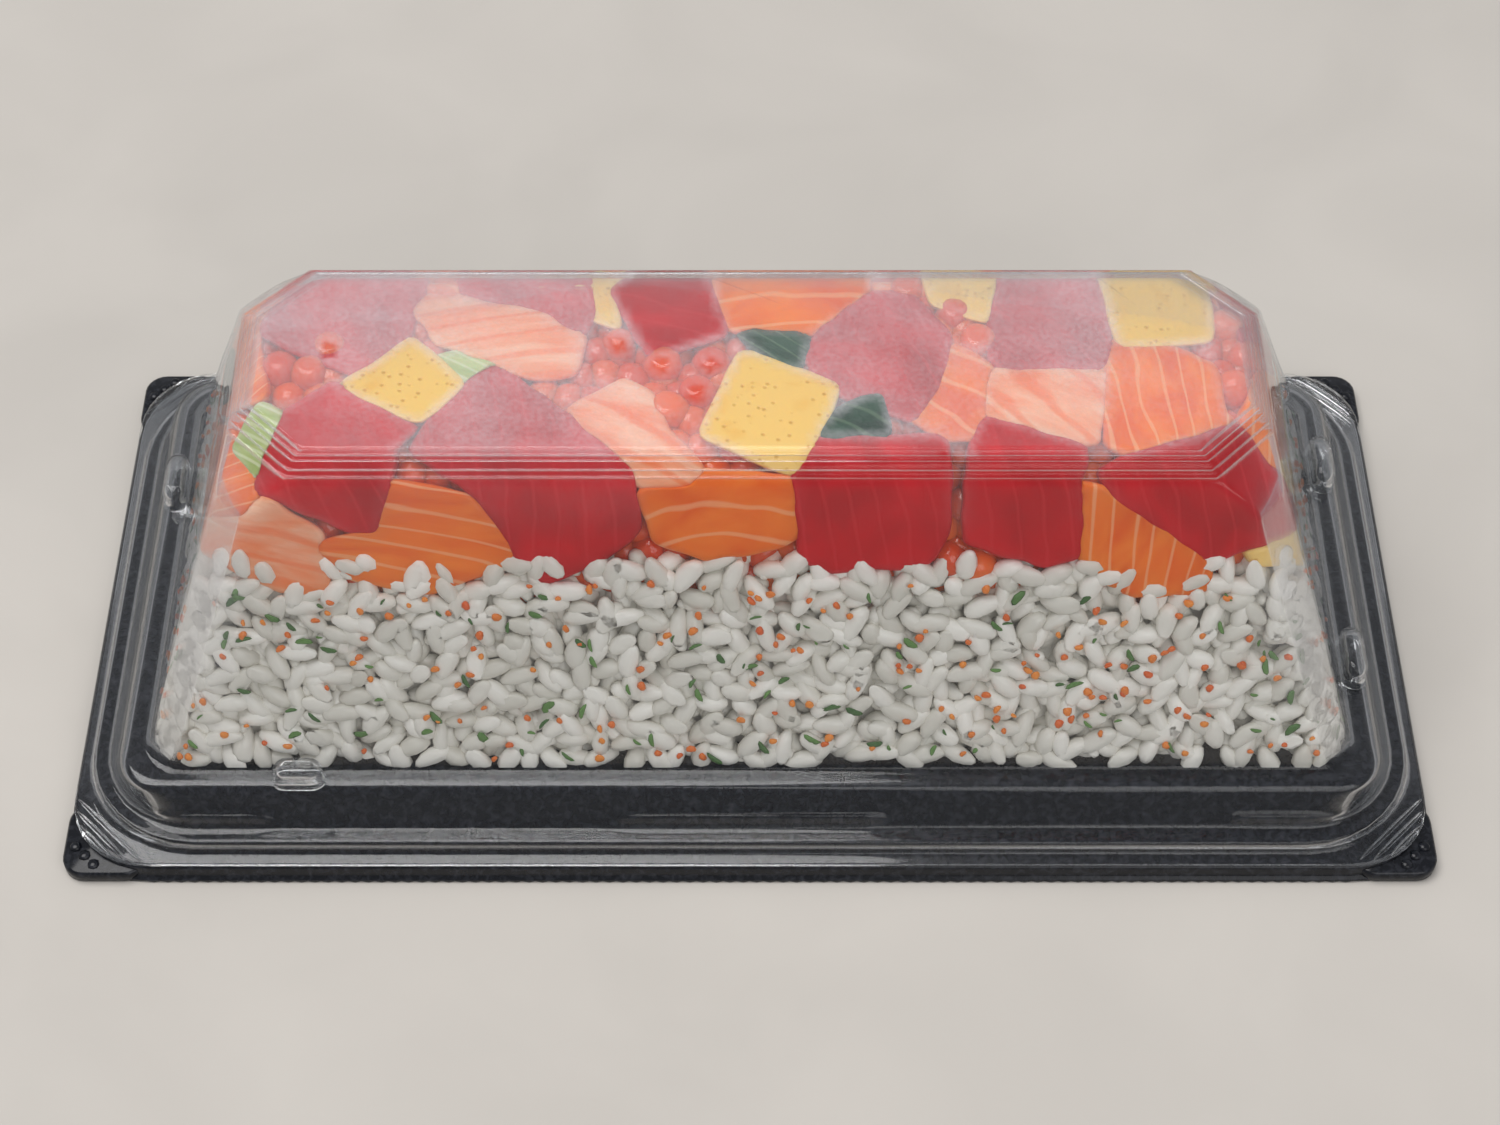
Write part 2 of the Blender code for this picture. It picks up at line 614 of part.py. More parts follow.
def build_lid():
    """The clear lid: a thin shell with its locking blisters."""
    outside = LID_TOP + LID_RIM
    inside = inward(outside, LID_WALL)
    inside[-1] = LID_RIM[-1]._replace(z=LID_RIM[-1].z - LID_WALL)
    lid = lofted("lid", outside + inside[::-1])
    blisters = []
    for x, y, half_x, half_y in LOCKS:
        small = min(half_x, half_y)
        base = Ring(half_x, half_y, small * 0.9, 1.0, SHELF_Z - LID_WALL * 0.5)
        rings = [base, base._replace(z=SHELF_Z + LOCK_HEIGHT * 0.7)]
        rings.append(Ring(half_x * 0.8, half_y * 0.8, small * 0.7, 1.0, SHELF_Z + LOCK_HEIGHT))
        blister = lofted("blister", rings)
        for vert in blister.data.vertices:
            vert.co += Vector((x, y, 0.0)) * MM
        blisters.append(blister)
    combine(lid, "UNION", blisters)
    for blister in blisters:
        bpy.data.objects.remove(blister, do_unlink=True)
    drop_scraps(lid)
    finish(lid, "lid", CLEAR)


def build_tray():
    """The black tray: a shell that follows the lid's rim from below, with a skirt and a lip."""
    shared = [LID_TOP[-1], *LID_RIM]
    face = inward(shared, LID_WALL + GAP)
    face[0] = face[1]._replace(x=face[1].x - 4.0, y=face[1].y - 4.0, corner=3.0)
    below = inward(shared, LID_WALL + GAP + TRAY_WALL)
    below[0] = face[0]._replace(z=face[0].z - TRAY_WALL)
    below[1] = below[1]._replace(z=face[1].z - TRAY_WALL)
    face[-1] = Ring(TRAY_SKIRT.x - 0.3, TRAY_SKIRT.y - 0.3, 6.5, 1.0, face[-2].z - 0.3)
    inside = TRAY_SKIRT.x - TRAY_WALL
    below[-1] = Ring(inside, TRAY_SKIRT.y - TRAY_WALL, 6.0, 1.0, face[-1].z - TRAY_WALL)
    lip = TRAY_SKIRT._replace(x=TRAY_SKIRT.x + TRAY_LIP, y=TRAY_SKIRT.y + TRAY_LIP, corner=7.0)
    edge = [TRAY_SKIRT, lip, lip._replace(z=0.0), below[-1]._replace(z=0.0)]
    tray = lofted("tray", face + edge + below[::-1])
    drop_scraps(tray)
    finish(tray, "tray", TRAY_BLACK)


def main():
    clear_scene()
    cake = bpy.data.objects.new("sushi_cake", None)
    bpy.context.scene.collection.objects.link(cake)
    build_tray()
    build_lid()
    cutter = grown_rice("rice_cutter")
    build_toppings(cutter)
    bpy.data.objects.remove(cutter, do_unlink=True)
    build_rice()


main()
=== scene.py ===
"""The boxed sushi cake, dressed: a clear lid over rice and cut fish on a shallow black tray.

Sizes are millimetres above the table, with +Z up, and the meshes are in metres. The cake's face is
laid out on a plane that leans back: a place on it is (x, s), with s the height along the plane, and
a third number, the reach, goes straight out from the plane towards the viewer.
"""

import logging
import math
from collections.abc import Callable
from dataclasses import dataclass, field
from enum import Enum

import bmesh
import bpy
import numpy as np
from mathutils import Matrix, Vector


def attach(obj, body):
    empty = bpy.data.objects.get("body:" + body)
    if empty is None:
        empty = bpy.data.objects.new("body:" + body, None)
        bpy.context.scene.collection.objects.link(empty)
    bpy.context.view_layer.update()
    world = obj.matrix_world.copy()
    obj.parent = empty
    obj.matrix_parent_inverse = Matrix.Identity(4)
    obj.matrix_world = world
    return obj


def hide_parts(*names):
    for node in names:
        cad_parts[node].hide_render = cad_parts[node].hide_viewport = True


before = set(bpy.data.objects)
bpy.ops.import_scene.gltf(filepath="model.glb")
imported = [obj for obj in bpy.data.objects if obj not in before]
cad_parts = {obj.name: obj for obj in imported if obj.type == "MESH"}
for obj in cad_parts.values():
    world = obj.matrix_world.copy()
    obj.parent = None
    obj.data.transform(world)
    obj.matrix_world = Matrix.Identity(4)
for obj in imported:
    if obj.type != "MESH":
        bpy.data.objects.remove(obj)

MM = 0.001
SHELF = 12.4
CUT_FLOOR = SHELF + 24.0
SLANT = math.radians(52.0)
ALONG = np.array([0.0, -math.cos(SLANT), math.sin(SLANT)])
UP_SLANT = np.array([0.0, math.sin(SLANT), math.cos(SLANT)])
CORNER_SIDES = ((1, 1), (-1, 1), (-1, -1), (1, -1))

# Rings of the box: half sizes along x and y, the size of the cut corner, how round it is, height.
LID_KEYS = np.array([
    (75.3, 17.9, 9.0, 0.0, SHELF + 52.15),
    (76.6, 19.3, 9.2, 0.0, SHELF + 51.0),
    (78.4, 21.4, 9.5, 0.0, SHELF + 48.7),
    (80.0, 23.1, 4.8, 0.15, SHELF + 44.0),
    (95.0, 39.2, 4.8, 0.4, SHELF),
    (99.0, 42.5, 5.5, 1.0, SHELF),
    (101.9, 45.4, 13.0, 1.0, SHELF - 5.0),
    (102.7, 46.2, 15.0, 1.0, SHELF - 6.2),
    (105.2, 49.0, 18.0, 1.0, SHELF - 6.2),
    (105.7, 49.5, 18.0, 1.0, SHELF - 8.3),
    (107.4, 51.6, 12.5, 1.0, SHELF - 8.6),
])
LID_ROUNDING = np.array([0.0, 0.8, 1.0, 2.6, 0.9, 1.4, 0.5, 0.4, 0.8, 0.5, 0.0])
ROOM_KEYS = np.array([
    (94.2, 38.4, 4.4, 0.3, SHELF - 0.5),
    (79.2, 22.3, 4.4, 0.1, SHELF + 44.0),
    (77.6, 20.6, 9.1, 0.0, SHELF + 48.1),
    (74.8, 17.4, 8.7, 0.0, SHELF + 51.5),
])
RICE_KEYS = np.array([
    (92.4, 36.6, 4.0, 0.3, SHELF - 0.5),
    (83.2, 26.7, 4.0, 0.3, SHELF + 27.0),
    (77.7, 21.1, 4.0, 0.3, SHELF + 33.0),
    (69.7, 12.9, 4.0, 0.3, SHELF + 39.0),
    (69.0, 12.2, 3.6, 0.3, SHELF + 39.5),
])

logging.basicConfig(level=logging.INFO, format="%(message)s")
log = logging.getLogger("sushi_cake")


def smooth_step(value: np.ndarray) -> np.ndarray:
    """Nothing below 0, one above 1, and an even S between: three squares less two cubes.

    Args:
        value: Any numbers.

    Returns:
        Numbers from 0 to 1.
    """
    share = np.clip(value, 0.0, 1.0)
    return share * share * (3.0 - 2.0 * share)


def waves(points: np.ndarray, length: float, seed: int) -> np.ndarray:
    """A soft random swell: the mean of nine sines whose ways and phases are drawn from the seed.

    Args:
        points: Places, the last axis holding two or three numbers.
        length: The usual length of a wave.
        seed: What the ways and phases are drawn from.

    Returns:
        One number from about -1 to 1 for each place.
    """
    draw = np.random.default_rng(seed)
    ways = draw.normal(size=(9, points.shape[-1])) * (2.0 * math.pi / length / 1.6)
    phases = draw.uniform(0.0, 2.0 * math.pi, 9)
    return np.sin(points @ ways.T + phases).mean(axis=-1) * 1.9


def grid_faces(rows: int, columns: int, closed: bool = False) -> np.ndarray:
    """The quads between the rows of a grid of points that are numbered row by row.

    Args:
        rows: How many rows of points.
        columns: How many points in a row.
        closed: True where the last point of a row joins the first.

    Returns:
        Four point numbers for each quad, turned so that rows by columns point the normal.
    """
    across = columns if closed else columns - 1
    row, column = np.meshgrid(np.arange(rows - 1), np.arange(across), indexing="ij")
    after = (column + 1) % columns
    low, high = row * columns, (row + 1) * columns
    return np.stack([low + column, high + column, high + after, low + after], -1).reshape(-1, 4)


def put_mesh(
    name: str, points: np.ndarray, faces: np.ndarray, weld: bool = False
) -> bpy.types.Object:
    """Makes an object from arrays, its faces shaded as one surface.

    Args:
        name: The piece's name.
        points: Places in millimetres, three numbers each.
        faces: Point numbers, three to every face or four to every face.
        weld: True to merge points that share a place, and turn the faces outward after that.

    Returns:
        The new object, linked to the scene.
    """
    mesh = bpy.data.meshes.new(name)
    flat = points.reshape(-1, 3)
    mesh.vertices.add(len(flat))
    mesh.vertices.foreach_set("co", (flat * MM).astype(np.float32).ravel())
    mesh.loops.add(faces.size)
    mesh.loops.foreach_set("vertex_index", faces.astype(np.int32).ravel())
    mesh.polygons.add(len(faces))
    mesh.polygons.foreach_set("loop_start", np.arange(0, faces.size, faces.shape[1], dtype=np.int32))
    mesh.update(calc_edges=True)
    if weld:
        shape = bmesh.new()
        shape.from_mesh(mesh)
        bmesh.ops.remove_doubles(shape, verts=shape.verts, dist=2e-6)
        bmesh.ops.recalc_face_normals(shape, faces=shape.faces)
        shape.to_mesh(mesh)
        shape.free()
    mesh.polygons.foreach_set("use_smooth", np.full(len(mesh.polygons), True))
    mesh.update()
    obj = bpy.data.objects.new(name, mesh)
    bpy.context.scene.collection.objects.link(obj)
    return obj


def points_of(obj: bpy.types.Object) -> np.ndarray:
    """The mesh's points.

    Args:
        obj: The piece.

    Returns:
        Places in millimetres.
    """
    flat = np.empty(len(obj.data.vertices) * 3, np.float32)
    obj.data.vertices.foreach_get("co", flat)
    return flat.reshape(-1, 3).astype(float) / MM


def put_values(obj: bpy.types.Object, name: str, values: np.ndarray) -> None:
    """Keeps one number or one vector for each point of the mesh, for its material to read.

    Args:
        obj: The piece.
        name: What the material calls the attribute.
        values: One number, or three, for each point.
    """
    kind, key = ("FLOAT", "value") if values.ndim == 1 else ("FLOAT_VECTOR", "vector")
    layer = obj.data.attributes.new(name, kind, "POINT")
    layer.data.foreach_set(key, values.astype(np.float32).ravel())


def ring_loops(rings: np.ndarray, long_side: int, short_side: int, corner: int) -> np.ndarray:
    """Level rings as loops of points: straight sides, and corners between a chamfer and an arc.

    Args:
        rings: Half length, half width, corner size, corner roundness and height, row by row.
        long_side: Steps along each side that runs with x.
        short_side: Steps along each side that runs with y.
        corner: Steps round each corner.

    Returns:
        Points by row and place on the loop, anticlockwise seen from above.
    """
    x, y, cut, roundness, z = (rings[:, i, None] for i in range(5))
    arcs = []
    for turn, (side_x, side_y) in enumerate(CORNER_SIDES):
        share = np.linspace(0.0, 1.0, corner + 1)[None]
        share = 1.0 - share if turn % 2 else share
        across = (1 - roundness) * (1 - share) + roundness * np.cos(share * math.pi / 2)
        deep = (1 - roundness) * share + roundness * np.sin(share * math.pi / 2)
        place_x = side_x * (x - cut + cut * across)
        place_y = side_y * (y - cut + cut * deep)
        arcs.append(np.stack([place_x, place_y, np.broadcast_to(z, place_x.shape)], -1))
    parts = []
    for turn, arc in enumerate(arcs):
        start, end = arc[:, -1:], arcs[(turn + 1) % 4][:, :1]
        steps = short_side if turn % 2 else long_side
        share = np.linspace(0.0, 1.0, steps + 1)[None, 1:-1, None]
        parts += [arc, start + (end - start) * share]
    return np.concatenate(parts, axis=1)


def filleted(keys: np.ndarray, rounding: np.ndarray, steps: int = 5) -> np.ndarray:
    """The rows of a profile with its inner keys rounded: at each key, a parabola that leaves the
    line before it and joins the line after it at the rounding's distance from the key.

    Args:
        keys: Ring numbers, row by row.
        rounding: How far from each key its curve starts, in millimetres.
        steps: Steps in each curve.

    Returns:
        Ring numbers, more rows of them.
    """
    rows = [keys[:1]]
    share = np.linspace(0.0, 1.0, steps + 1)[:, None]
    for i in range(1, len(keys) - 1):
        before, after = keys[i - 1] - keys[i], keys[i + 1] - keys[i]
        length_before, length_after = np.hypot(before[1], before[4]), np.hypot(after[1], after[4])
        reach = min(rounding[i], 0.46 * length_before, 0.46 * length_after)
        start = keys[i] + before * (reach / length_before)
        end = keys[i] + after * (reach / length_after)
        rows.append((1 - share) ** 2 * start + 2 * share * (1 - share) * keys[i] + share**2 * end)
    rows.append(keys[-1:])
    return np.concatenate(rows)


def offset_profile(rings: np.ndarray, depth: float) -> np.ndarray:
    """A profile that runs outward and down, moved inward square to itself.

    Args:
        rings: Ring numbers, row by row.
        depth: How far inward, in millimetres.

    Returns:
        Ring numbers, as many rows.
    """
    run = np.gradient(rings[:, [1, 4]], axis=0)
    run /= np.maximum(np.linalg.norm(run, axis=1, keepdims=True), 1e-9)
    moved = rings.copy()
    moved[:, 0] += run[:, 1] * depth
    moved[:, 1] += run[:, 1] * depth
    moved[:, 4] -= run[:, 0] * depth
    return moved


def distance_inside(places: np.ndarray, outline: np.ndarray) -> np.ndarray:
    """How far each place is inside a closed outline, less than nothing outside it: the distance to
    the nearest side, signed by counting the sides that a ray crosses.

    Args:
        places: Two numbers for each place, the last axis.
        outline: The outline's corners in order.

    Returns:
        One number for each place.
    """
    start, end = outline, np.roll(outline, -1, axis=0)
    side = end - start
    away = places[..., None, :] - start
    share = np.clip((away * side).sum(-1) / np.maximum((side * side).sum(-1), 1e-9), 0.0, 1.0)
    nearest = np.linalg.norm(away - share[..., None] * side, axis=-1).min(-1)
    x, s = places[..., 0, None], places[..., 1, None]
    spans = (start[:, 1] > s) != (end[:, 1] > s)
    rise = np.where(np.abs(side[:, 1]) < 1e-9, 1e-9, side[:, 1])
    crossed = spans & (x < start[:, 0] + (s - start[:, 1]) * side[:, 0] / rise)
    return np.where(crossed.sum(-1) % 2 == 1, nearest, -nearest)


@dataclass(frozen=True)
class Room:
    """The room that the food fills, as the flat faces just inside the lid."""

    keys: np.ndarray = field(default_factory=lambda: ROOM_KEYS)

    def faces(self) -> tuple[np.ndarray, np.ndarray]:
        """The walls, the cut corners and the ceiling.

        Returns:
            Outward unit normals, and how far each face is from the origin along its normal.
        """
        normals, distances = [np.array([0.0, 0.0, 1.0])], [self.keys[-1, 4]]
        for low, high in zip(self.keys[:-1], self.keys[1:]):
            rise = high[4] - low[4]
            for way in ((1, 0), (-1, 0), (0, 1), (0, -1), (1, 1), (-1, 1), (1, -1), (-1, -1)):
                reach = [r[0] * abs(way[0]) + r[1] * abs(way[1]) for r in (low, high)]
                if way[0] and way[1]:
                    reach = [(r - key[2]) / math.sqrt(2) for r, key in zip(reach, (low, high))]
                flat = np.array(way) / math.hypot(*way)
                normal = np.array([*(flat * rise), reach[0] - reach[1]])
                normal /= np.linalg.norm(normal)
                normals.append(normal)
                distances.append(normal @ np.array([*(flat * reach[0]), low[4]]))
        return np.array(normals), np.array(distances)

    def reach_at(self, places: np.ndarray, rear: bool = False, softness: float = 0.5) -> np.ndarray:
        """How far out from the slanted plane the room's surface is: the least of the distances to
        the faces that look towards the viewer, rounded where two faces meet.

        Args:
            places: (x, s) on the slanted plane.
            rear: True for the far side, which is laid out from behind.
            softness: How wide the rounding is.

        Returns:
            The reach of each place.
        """
        normals, distances = self.faces()
        flip = np.array([1.0, -1.0, 1.0]) if rear else np.ones(3)
        facing = (normals * flip) @ ALONG
        chosen = facing > 0.05
        normals, distances, facing = (normals * flip)[chosen], distances[chosen], facing[chosen]
        start = on_slant(places, np.zeros(places.shape[:-1]))
        reach = (distances - start @ normals.T) / facing
        least = reach.min(-1, keepdims=True)
        return least[..., 0] - softness * np.log(np.exp((least - reach) / softness).sum(-1))

    def far_reach(self, places: np.ndarray, rear: bool = False) -> np.ndarray:
        """The reach at which a line straight in from each place leaves the room again: the most of
        the distances to the faces that look away from the viewer.

        Args:
            places: (x, s) on the slanted plane.
            rear: True for the far side.

        Returns:
            The reach of each place.
        """
        normals, distances = self.faces()
        normals = normals * (np.array([1.0, -1.0, 1.0]) if rear else np.ones(3))
        facing = normals @ ALONG
        chosen = facing < -0.05
        start = on_slant(places, np.zeros(places.shape[:-1]))
        return ((distances[chosen] - start @ normals[chosen].T) / facing[chosen]).max(-1)

    def within(self, places: np.ndarray, rear: bool = False, least: float = 2.0) -> np.ndarray:
        """Places beyond the room's edge drawn in to it: the share of the way to a place well inside
        is halved again and again around the point where the room is just thick enough.

        Args:
            places: (x, s) on the slanted plane.
            rear: True for the far side.
            least: The thickness that the room must have there.

        Returns:
            The places, those already inside unchanged.
        """
        target = np.clip(places, (-64.0, 10.0), (64.0, 44.0))
        low, high = np.zeros(len(places)), np.ones(len(places))
        for _ in range(16):
            share = (low + high) / 2
            tried = target + (places - target) * share[:, None]
            fits = self.reach_at(tried, rear) - self.far_reach(tried, rear) > least
            low, high = np.where(fits, share, low), np.where(fits, high, share)
        return target + (places - target) * low[:, None]

    def pressed(self, points: np.ndarray, shrink: float = 0.0) -> np.ndarray:
        """Points outside the room moved straight back to its faces.

        Args:
            points: Places in millimetres.
            shrink: How far inside the faces they must stay.

        Returns:
            The places, those inside unchanged.
        """
        normals, distances = self.faces()
        moved = points.copy()
        for normal, distance in zip(normals, distances - shrink):
            over = np.maximum(moved @ normal - distance, 0.0)
            moved -= over[..., None] * normal
        return moved


def on_slant(places: np.ndarray, reach: np.ndarray, rear: bool = False) -> np.ndarray:
    """Points from their places on the slanted plane and their reach.

    Args:
        places: (x, s) for each point.
        reach: How far out each point is.
        rear: True for the far side, which is the near one mirrored front to back.

    Returns:
        Places in millimetres.
    """
    across = places[..., 0, None] * np.array([1.0, 0.0, 0.0])
    points = across + places[..., 1, None] * UP_SLANT + reach[..., None] * ALONG
    return points * (np.array([1.0, -1.0, 1.0]) if rear else 1.0)


class Nodes:
    """A material's node tree, with short calls to add nodes and join them."""

    def __init__(self, name: str) -> None:
        """Starts an empty tree that ends in an output.

        Args:
            name: The material's name.
        """
        self.material = bpy.data.materials.new(name)
        self.material.use_nodes = True
        self.tree = self.material.node_tree
        self.tree.nodes.clear()
        self.output = self.tree.nodes.new("ShaderNodeOutputMaterial")

    def add(self, kind: str, inputs: dict | None = None, **settings: object) -> bpy.types.Node:
        """Adds a node.

        Args:
            kind: The node's type, without its first words.
            inputs: A value, or the socket that feeds it, for each input by name or number.
            **settings: The node's own settings.

        Returns:
            The node.
        """
        node = self.tree.nodes.new("ShaderNode" + kind)
        for key, value in settings.items():
            setattr(node, key, value)
        for key, value in (inputs or {}).items():
            if isinstance(value, bpy.types.NodeSocket):
                self.tree.links.new(value, node.inputs[key])
            else:
                node.inputs[key].default_value = value
        return node

    def group(self, group: bpy.types.NodeTree, inputs: dict) -> bpy.types.Node:
        """Adds a shared effect as a group node with its own values."""
        return self.add("Group", inputs, node_tree=group)

    def ramp(self, value: bpy.types.NodeSocket, stops: list[tuple[float, tuple]]) -> bpy.types.NodeSocket:
        """A colour that changes with a value.

        Args:
            value: What it changes with.
            stops: A place from 0 to 1 and a colour for each stop.

        Returns:
            The colour's socket.
        """
        node = self.add("ValToRGB", {0: value})
        elements = node.color_ramp.elements
        while len(elements) < len(stops):
            elements.new(0.5)
        for element, (place, colour) in zip(elements, stops):
            element.position = place
            element.color = (*colour, 1.0)
        return node.outputs[0]

    def mixed(self, share: object, first: object, second: object) -> bpy.types.NodeSocket:
        """Two colours mixed by a share.

        Args:
            share: How much of the second colour, as a socket or a number.
            first: A colour, as a socket or three numbers.
            second: The other colour, as a socket or three numbers.

        Returns:
            The mixed colour's socket.
        """
        node = self.add("Mix", {}, data_type="RGBA")
        for socket, value in ((node.inputs[0], share), (node.inputs[6], first), (node.inputs[7], second)):
            if isinstance(value, bpy.types.NodeSocket):
                self.tree.links.new(value, socket)
            elif isinstance(value, tuple):
                socket.default_value = (*value, 1.0)
            else:
                socket.default_value = value
        return node.outputs[2]

    def finish(self, shader: bpy.types.Node) -> bpy.types.Material:
        """Joins the shader to the output and gives back the material."""
        self.tree.links.new(shader.outputs[0], self.output.inputs[0])
        return self.material


def new_group(
    name: str, inputs: list[tuple[str, str, float | None]], outputs: list[tuple[str, str]]
) -> tuple[bpy.types.NodeTree, bpy.types.Node, bpy.types.Node]:
    """An empty node group with named sockets.

    Args:
        name: The group's name.
        inputs: A name, a socket type and a default for each input.
        outputs: A name and a socket type for each output.

    Returns:
        The group, its input node and its output node.
    """
    group = bpy.data.node_groups.new(name, "ShaderNodeTree")
    for socket, kind, default in inputs:
        made = group.interface.new_socket(socket, in_out="INPUT", socket_type=kind)
        if default is not None:
            made.default_value = default
    for socket, kind in outputs:
        group.interface.new_socket(socket, in_out="OUTPUT", socket_type=kind)
    return group, group.nodes.new("NodeGroupInput"), group.nodes.new("NodeGroupOutput")


def mottle_group() -> bpy.types.NodeTree:
    """Uneven colour and a soft unevenness of height: two sizes of noise, mixed.

    Returns:
        A group with Vector, Scale and Stretch in, and Value and Height out.
    """
    group, start, end = new_group(
        "mottle",
        [("Vector", "NodeSocketVector", None), ("Scale", "NodeSocketFloat", 200.0),
         ("Stretch", "NodeSocketFloat", 0.5)],
        [("Value", "NodeSocketFloat"), ("Height", "NodeSocketFloat")],
    )
    link = group.links.new
    broad = group.nodes.new("ShaderNodeTexNoise")
    broad.inputs["Detail"].default_value = 3.0
    fine = group.nodes.new("ShaderNodeTexNoise")
    fine.inputs["Detail"].default_value = 2.0
    more = group.nodes.new("ShaderNodeMath")
    more.operation = "MULTIPLY"
    more.inputs[1].default_value = 4.3
    link(start.outputs["Scale"], more.inputs[0])
    for noise, scale in ((broad, start.outputs["Scale"]), (fine, more.outputs[0])):
        link(start.outputs["Vector"], noise.inputs["Vector"])
        link(scale, noise.inputs["Scale"])
        link(start.outputs["Stretch"], noise.inputs["Distortion"])
    both = group.nodes.new("ShaderNodeMath")
    both.operation = "MULTIPLY_ADD"
    both.inputs[1].default_value = 0.35
    link(fine.outputs[0], both.inputs[0])
    link(broad.outputs[0], both.inputs[2])
    link(broad.outputs[0], end.inputs["Value"])
    link(both.outputs[0], end.inputs["Height"])
    return group


def lines_group() -> bpy.types.NodeTree:
    """Thin pale lines across a piece, bent by noise: the wave of one coordinate, sharpened.

    Returns:
        A group with Vector, Scale, Bend and Width in, and Mask out.
    """
    group, start, end = new_group(
        "lines",
        [("Vector", "NodeSocketVector", None), ("Scale", "NodeSocketFloat", 40.0),
         ("Bend", "NodeSocketFloat", 3.0), ("Width", "NodeSocketFloat", 0.15)],
        [("Mask", "NodeSocketFloat")],
    )
    link = group.links.new
    wave = group.nodes.new("ShaderNodeTexWave")
    wave.bands_direction = "X"
    wave.inputs["Detail"].default_value = 2.0
    wave.inputs["Detail Scale"].default_value = 1.2
    link(start.outputs["Vector"], wave.inputs["Vector"])
    link(start.outputs["Scale"], wave.inputs["Scale"])
    link(start.outputs["Bend"], wave.inputs["Distortion"])
    less = group.nodes.new("ShaderNodeMath")
    less.operation = "SUBTRACT"
    less.inputs[0].default_value = 1.0
    link(start.outputs["Width"], less.inputs[1])
    ranged = group.nodes.new("ShaderNodeMapRange")
    ranged.interpolation_type = "SMOOTHSTEP"
    link(wave.outputs["Fac"], ranged.inputs["Value"])
    link(less.outputs[0], ranged.inputs["From Min"])
    link(ranged.outputs[0], end.inputs["Mask"])
    return group


@dataclass
class Effects:
    """The node groups that several finishes share."""

    mottle: bpy.types.NodeTree = field(default_factory=mottle_group)
    lines: bpy.types.NodeTree = field(default_factory=lines_group)


@dataclass(frozen=True)
class Flesh:
    """A wet, slightly see-through food: two colours mottled, with lines or specks of a third."""

    name: str
    dark: tuple[float, float, float]
    light: tuple[float, float, float]
    line: tuple[float, float, float]
    line_scale: float
    line_width: float
    line_bend: float = 3.0
    line_share: float = 0.8
    mottle_scale: float = 160.0
    roughness: float = 0.28
    bump: float = 0.00048
    soft: float = 0.25
    soft_radius: tuple[float, float, float] = (0.004, 0.0008, 0.0005)

    def material(self, effects: Effects) -> bpy.types.Material:
        """The finish as a material that reads the piece's cut attribute.

        Args:
            effects: The shared groups.

        Returns:
            The material.
        """
        nodes = Nodes(self.name)
        cut = nodes.add("Attribute", attribute_name="cut").outputs["Vector"]
        mottle = nodes.group(effects.mottle, {"Vector": cut, "Scale": self.mottle_scale})
        lines = nodes.group(effects.lines, {
            "Vector": cut, "Scale": self.line_scale, "Bend": self.line_bend, "Width": self.line_width,
        })
        body = nodes.ramp(mottle.outputs["Value"], [(0.32, self.dark), (0.68, self.light)])
        share = nodes.add("Math", {0: lines.outputs[0], 1: self.line_share}, operation="MULTIPLY")
        colour = nodes.mixed(share.outputs[0], body, self.line)
        rough = nodes.add("MapRange", {
            "Value": mottle.outputs["Height"], "To Min": self.roughness, "To Max": self.roughness + 0.2,
        })
        bump = nodes.add("Bump", {
            "Height": mottle.outputs["Height"], "Distance": self.bump, "Strength": 0.6,
        })
        shader = nodes.add("BsdfPrincipled", {
            "Base Color": colour, "Roughness": rough.outputs[0], "Normal": bump.outputs[0],
            "Subsurface Weight": self.soft, "Subsurface Radius": self.soft_radius,
            "Subsurface Scale": 1.0, "Specular IOR Level": 0.15,
        })
        return nodes.finish(shader)


@dataclass(frozen=True)
class Omelette:
    """Rolled egg: matt yellow with fine pores, browner in soft patches."""

    name: str = "egg"
    yellow: tuple[float, float, float] = (0.90, 0.60, 0.17)
    deep: tuple[float, float, float] = (0.84, 0.48, 0.09)
    pore: tuple[float, float, float] = (0.66, 0.36, 0.06)

    def material(self, effects: Effects) -> bpy.types.Material:
        """The finish as a material, its pores small dark cells of a Voronoi pattern.

        Args:
            effects: The shared groups.

        Returns:
            The material.
        """
        nodes = Nodes(self.name)
        place = nodes.add("TexCoord").outputs["Object"]
        mottle = nodes.group(effects.mottle, {"Vector": place, "Scale": 130.0})
        cells = nodes.add("TexVoronoi", {"Vector": place, "Scale": 620.0, "Randomness": 1.0})
        pores = nodes.add("MapRange", {
            "Value": cells.outputs["Distance"], "From Min": 0.08, "From Max": 0.26,
        })
        body = nodes.ramp(mottle.outputs["Value"], [(0.25, self.deep), (0.45, self.yellow)])
        colour = nodes.mixed(pores.outputs[0], self.pore, body)
        bump = nodes.add("Bump", {"Height": pores.outputs[0], "Distance": 0.0002, "Strength": 0.5})
        shader = nodes.add("BsdfPrincipled", {
            "Base Color": colour, "Roughness": 0.42, "Normal": bump.outputs[0],
            "Subsurface Weight": 0.2, "Subsurface Radius": (0.003, 0.0015, 0.0004),
            "Subsurface Scale": 1.0,
        })
        return nodes.finish(shader)


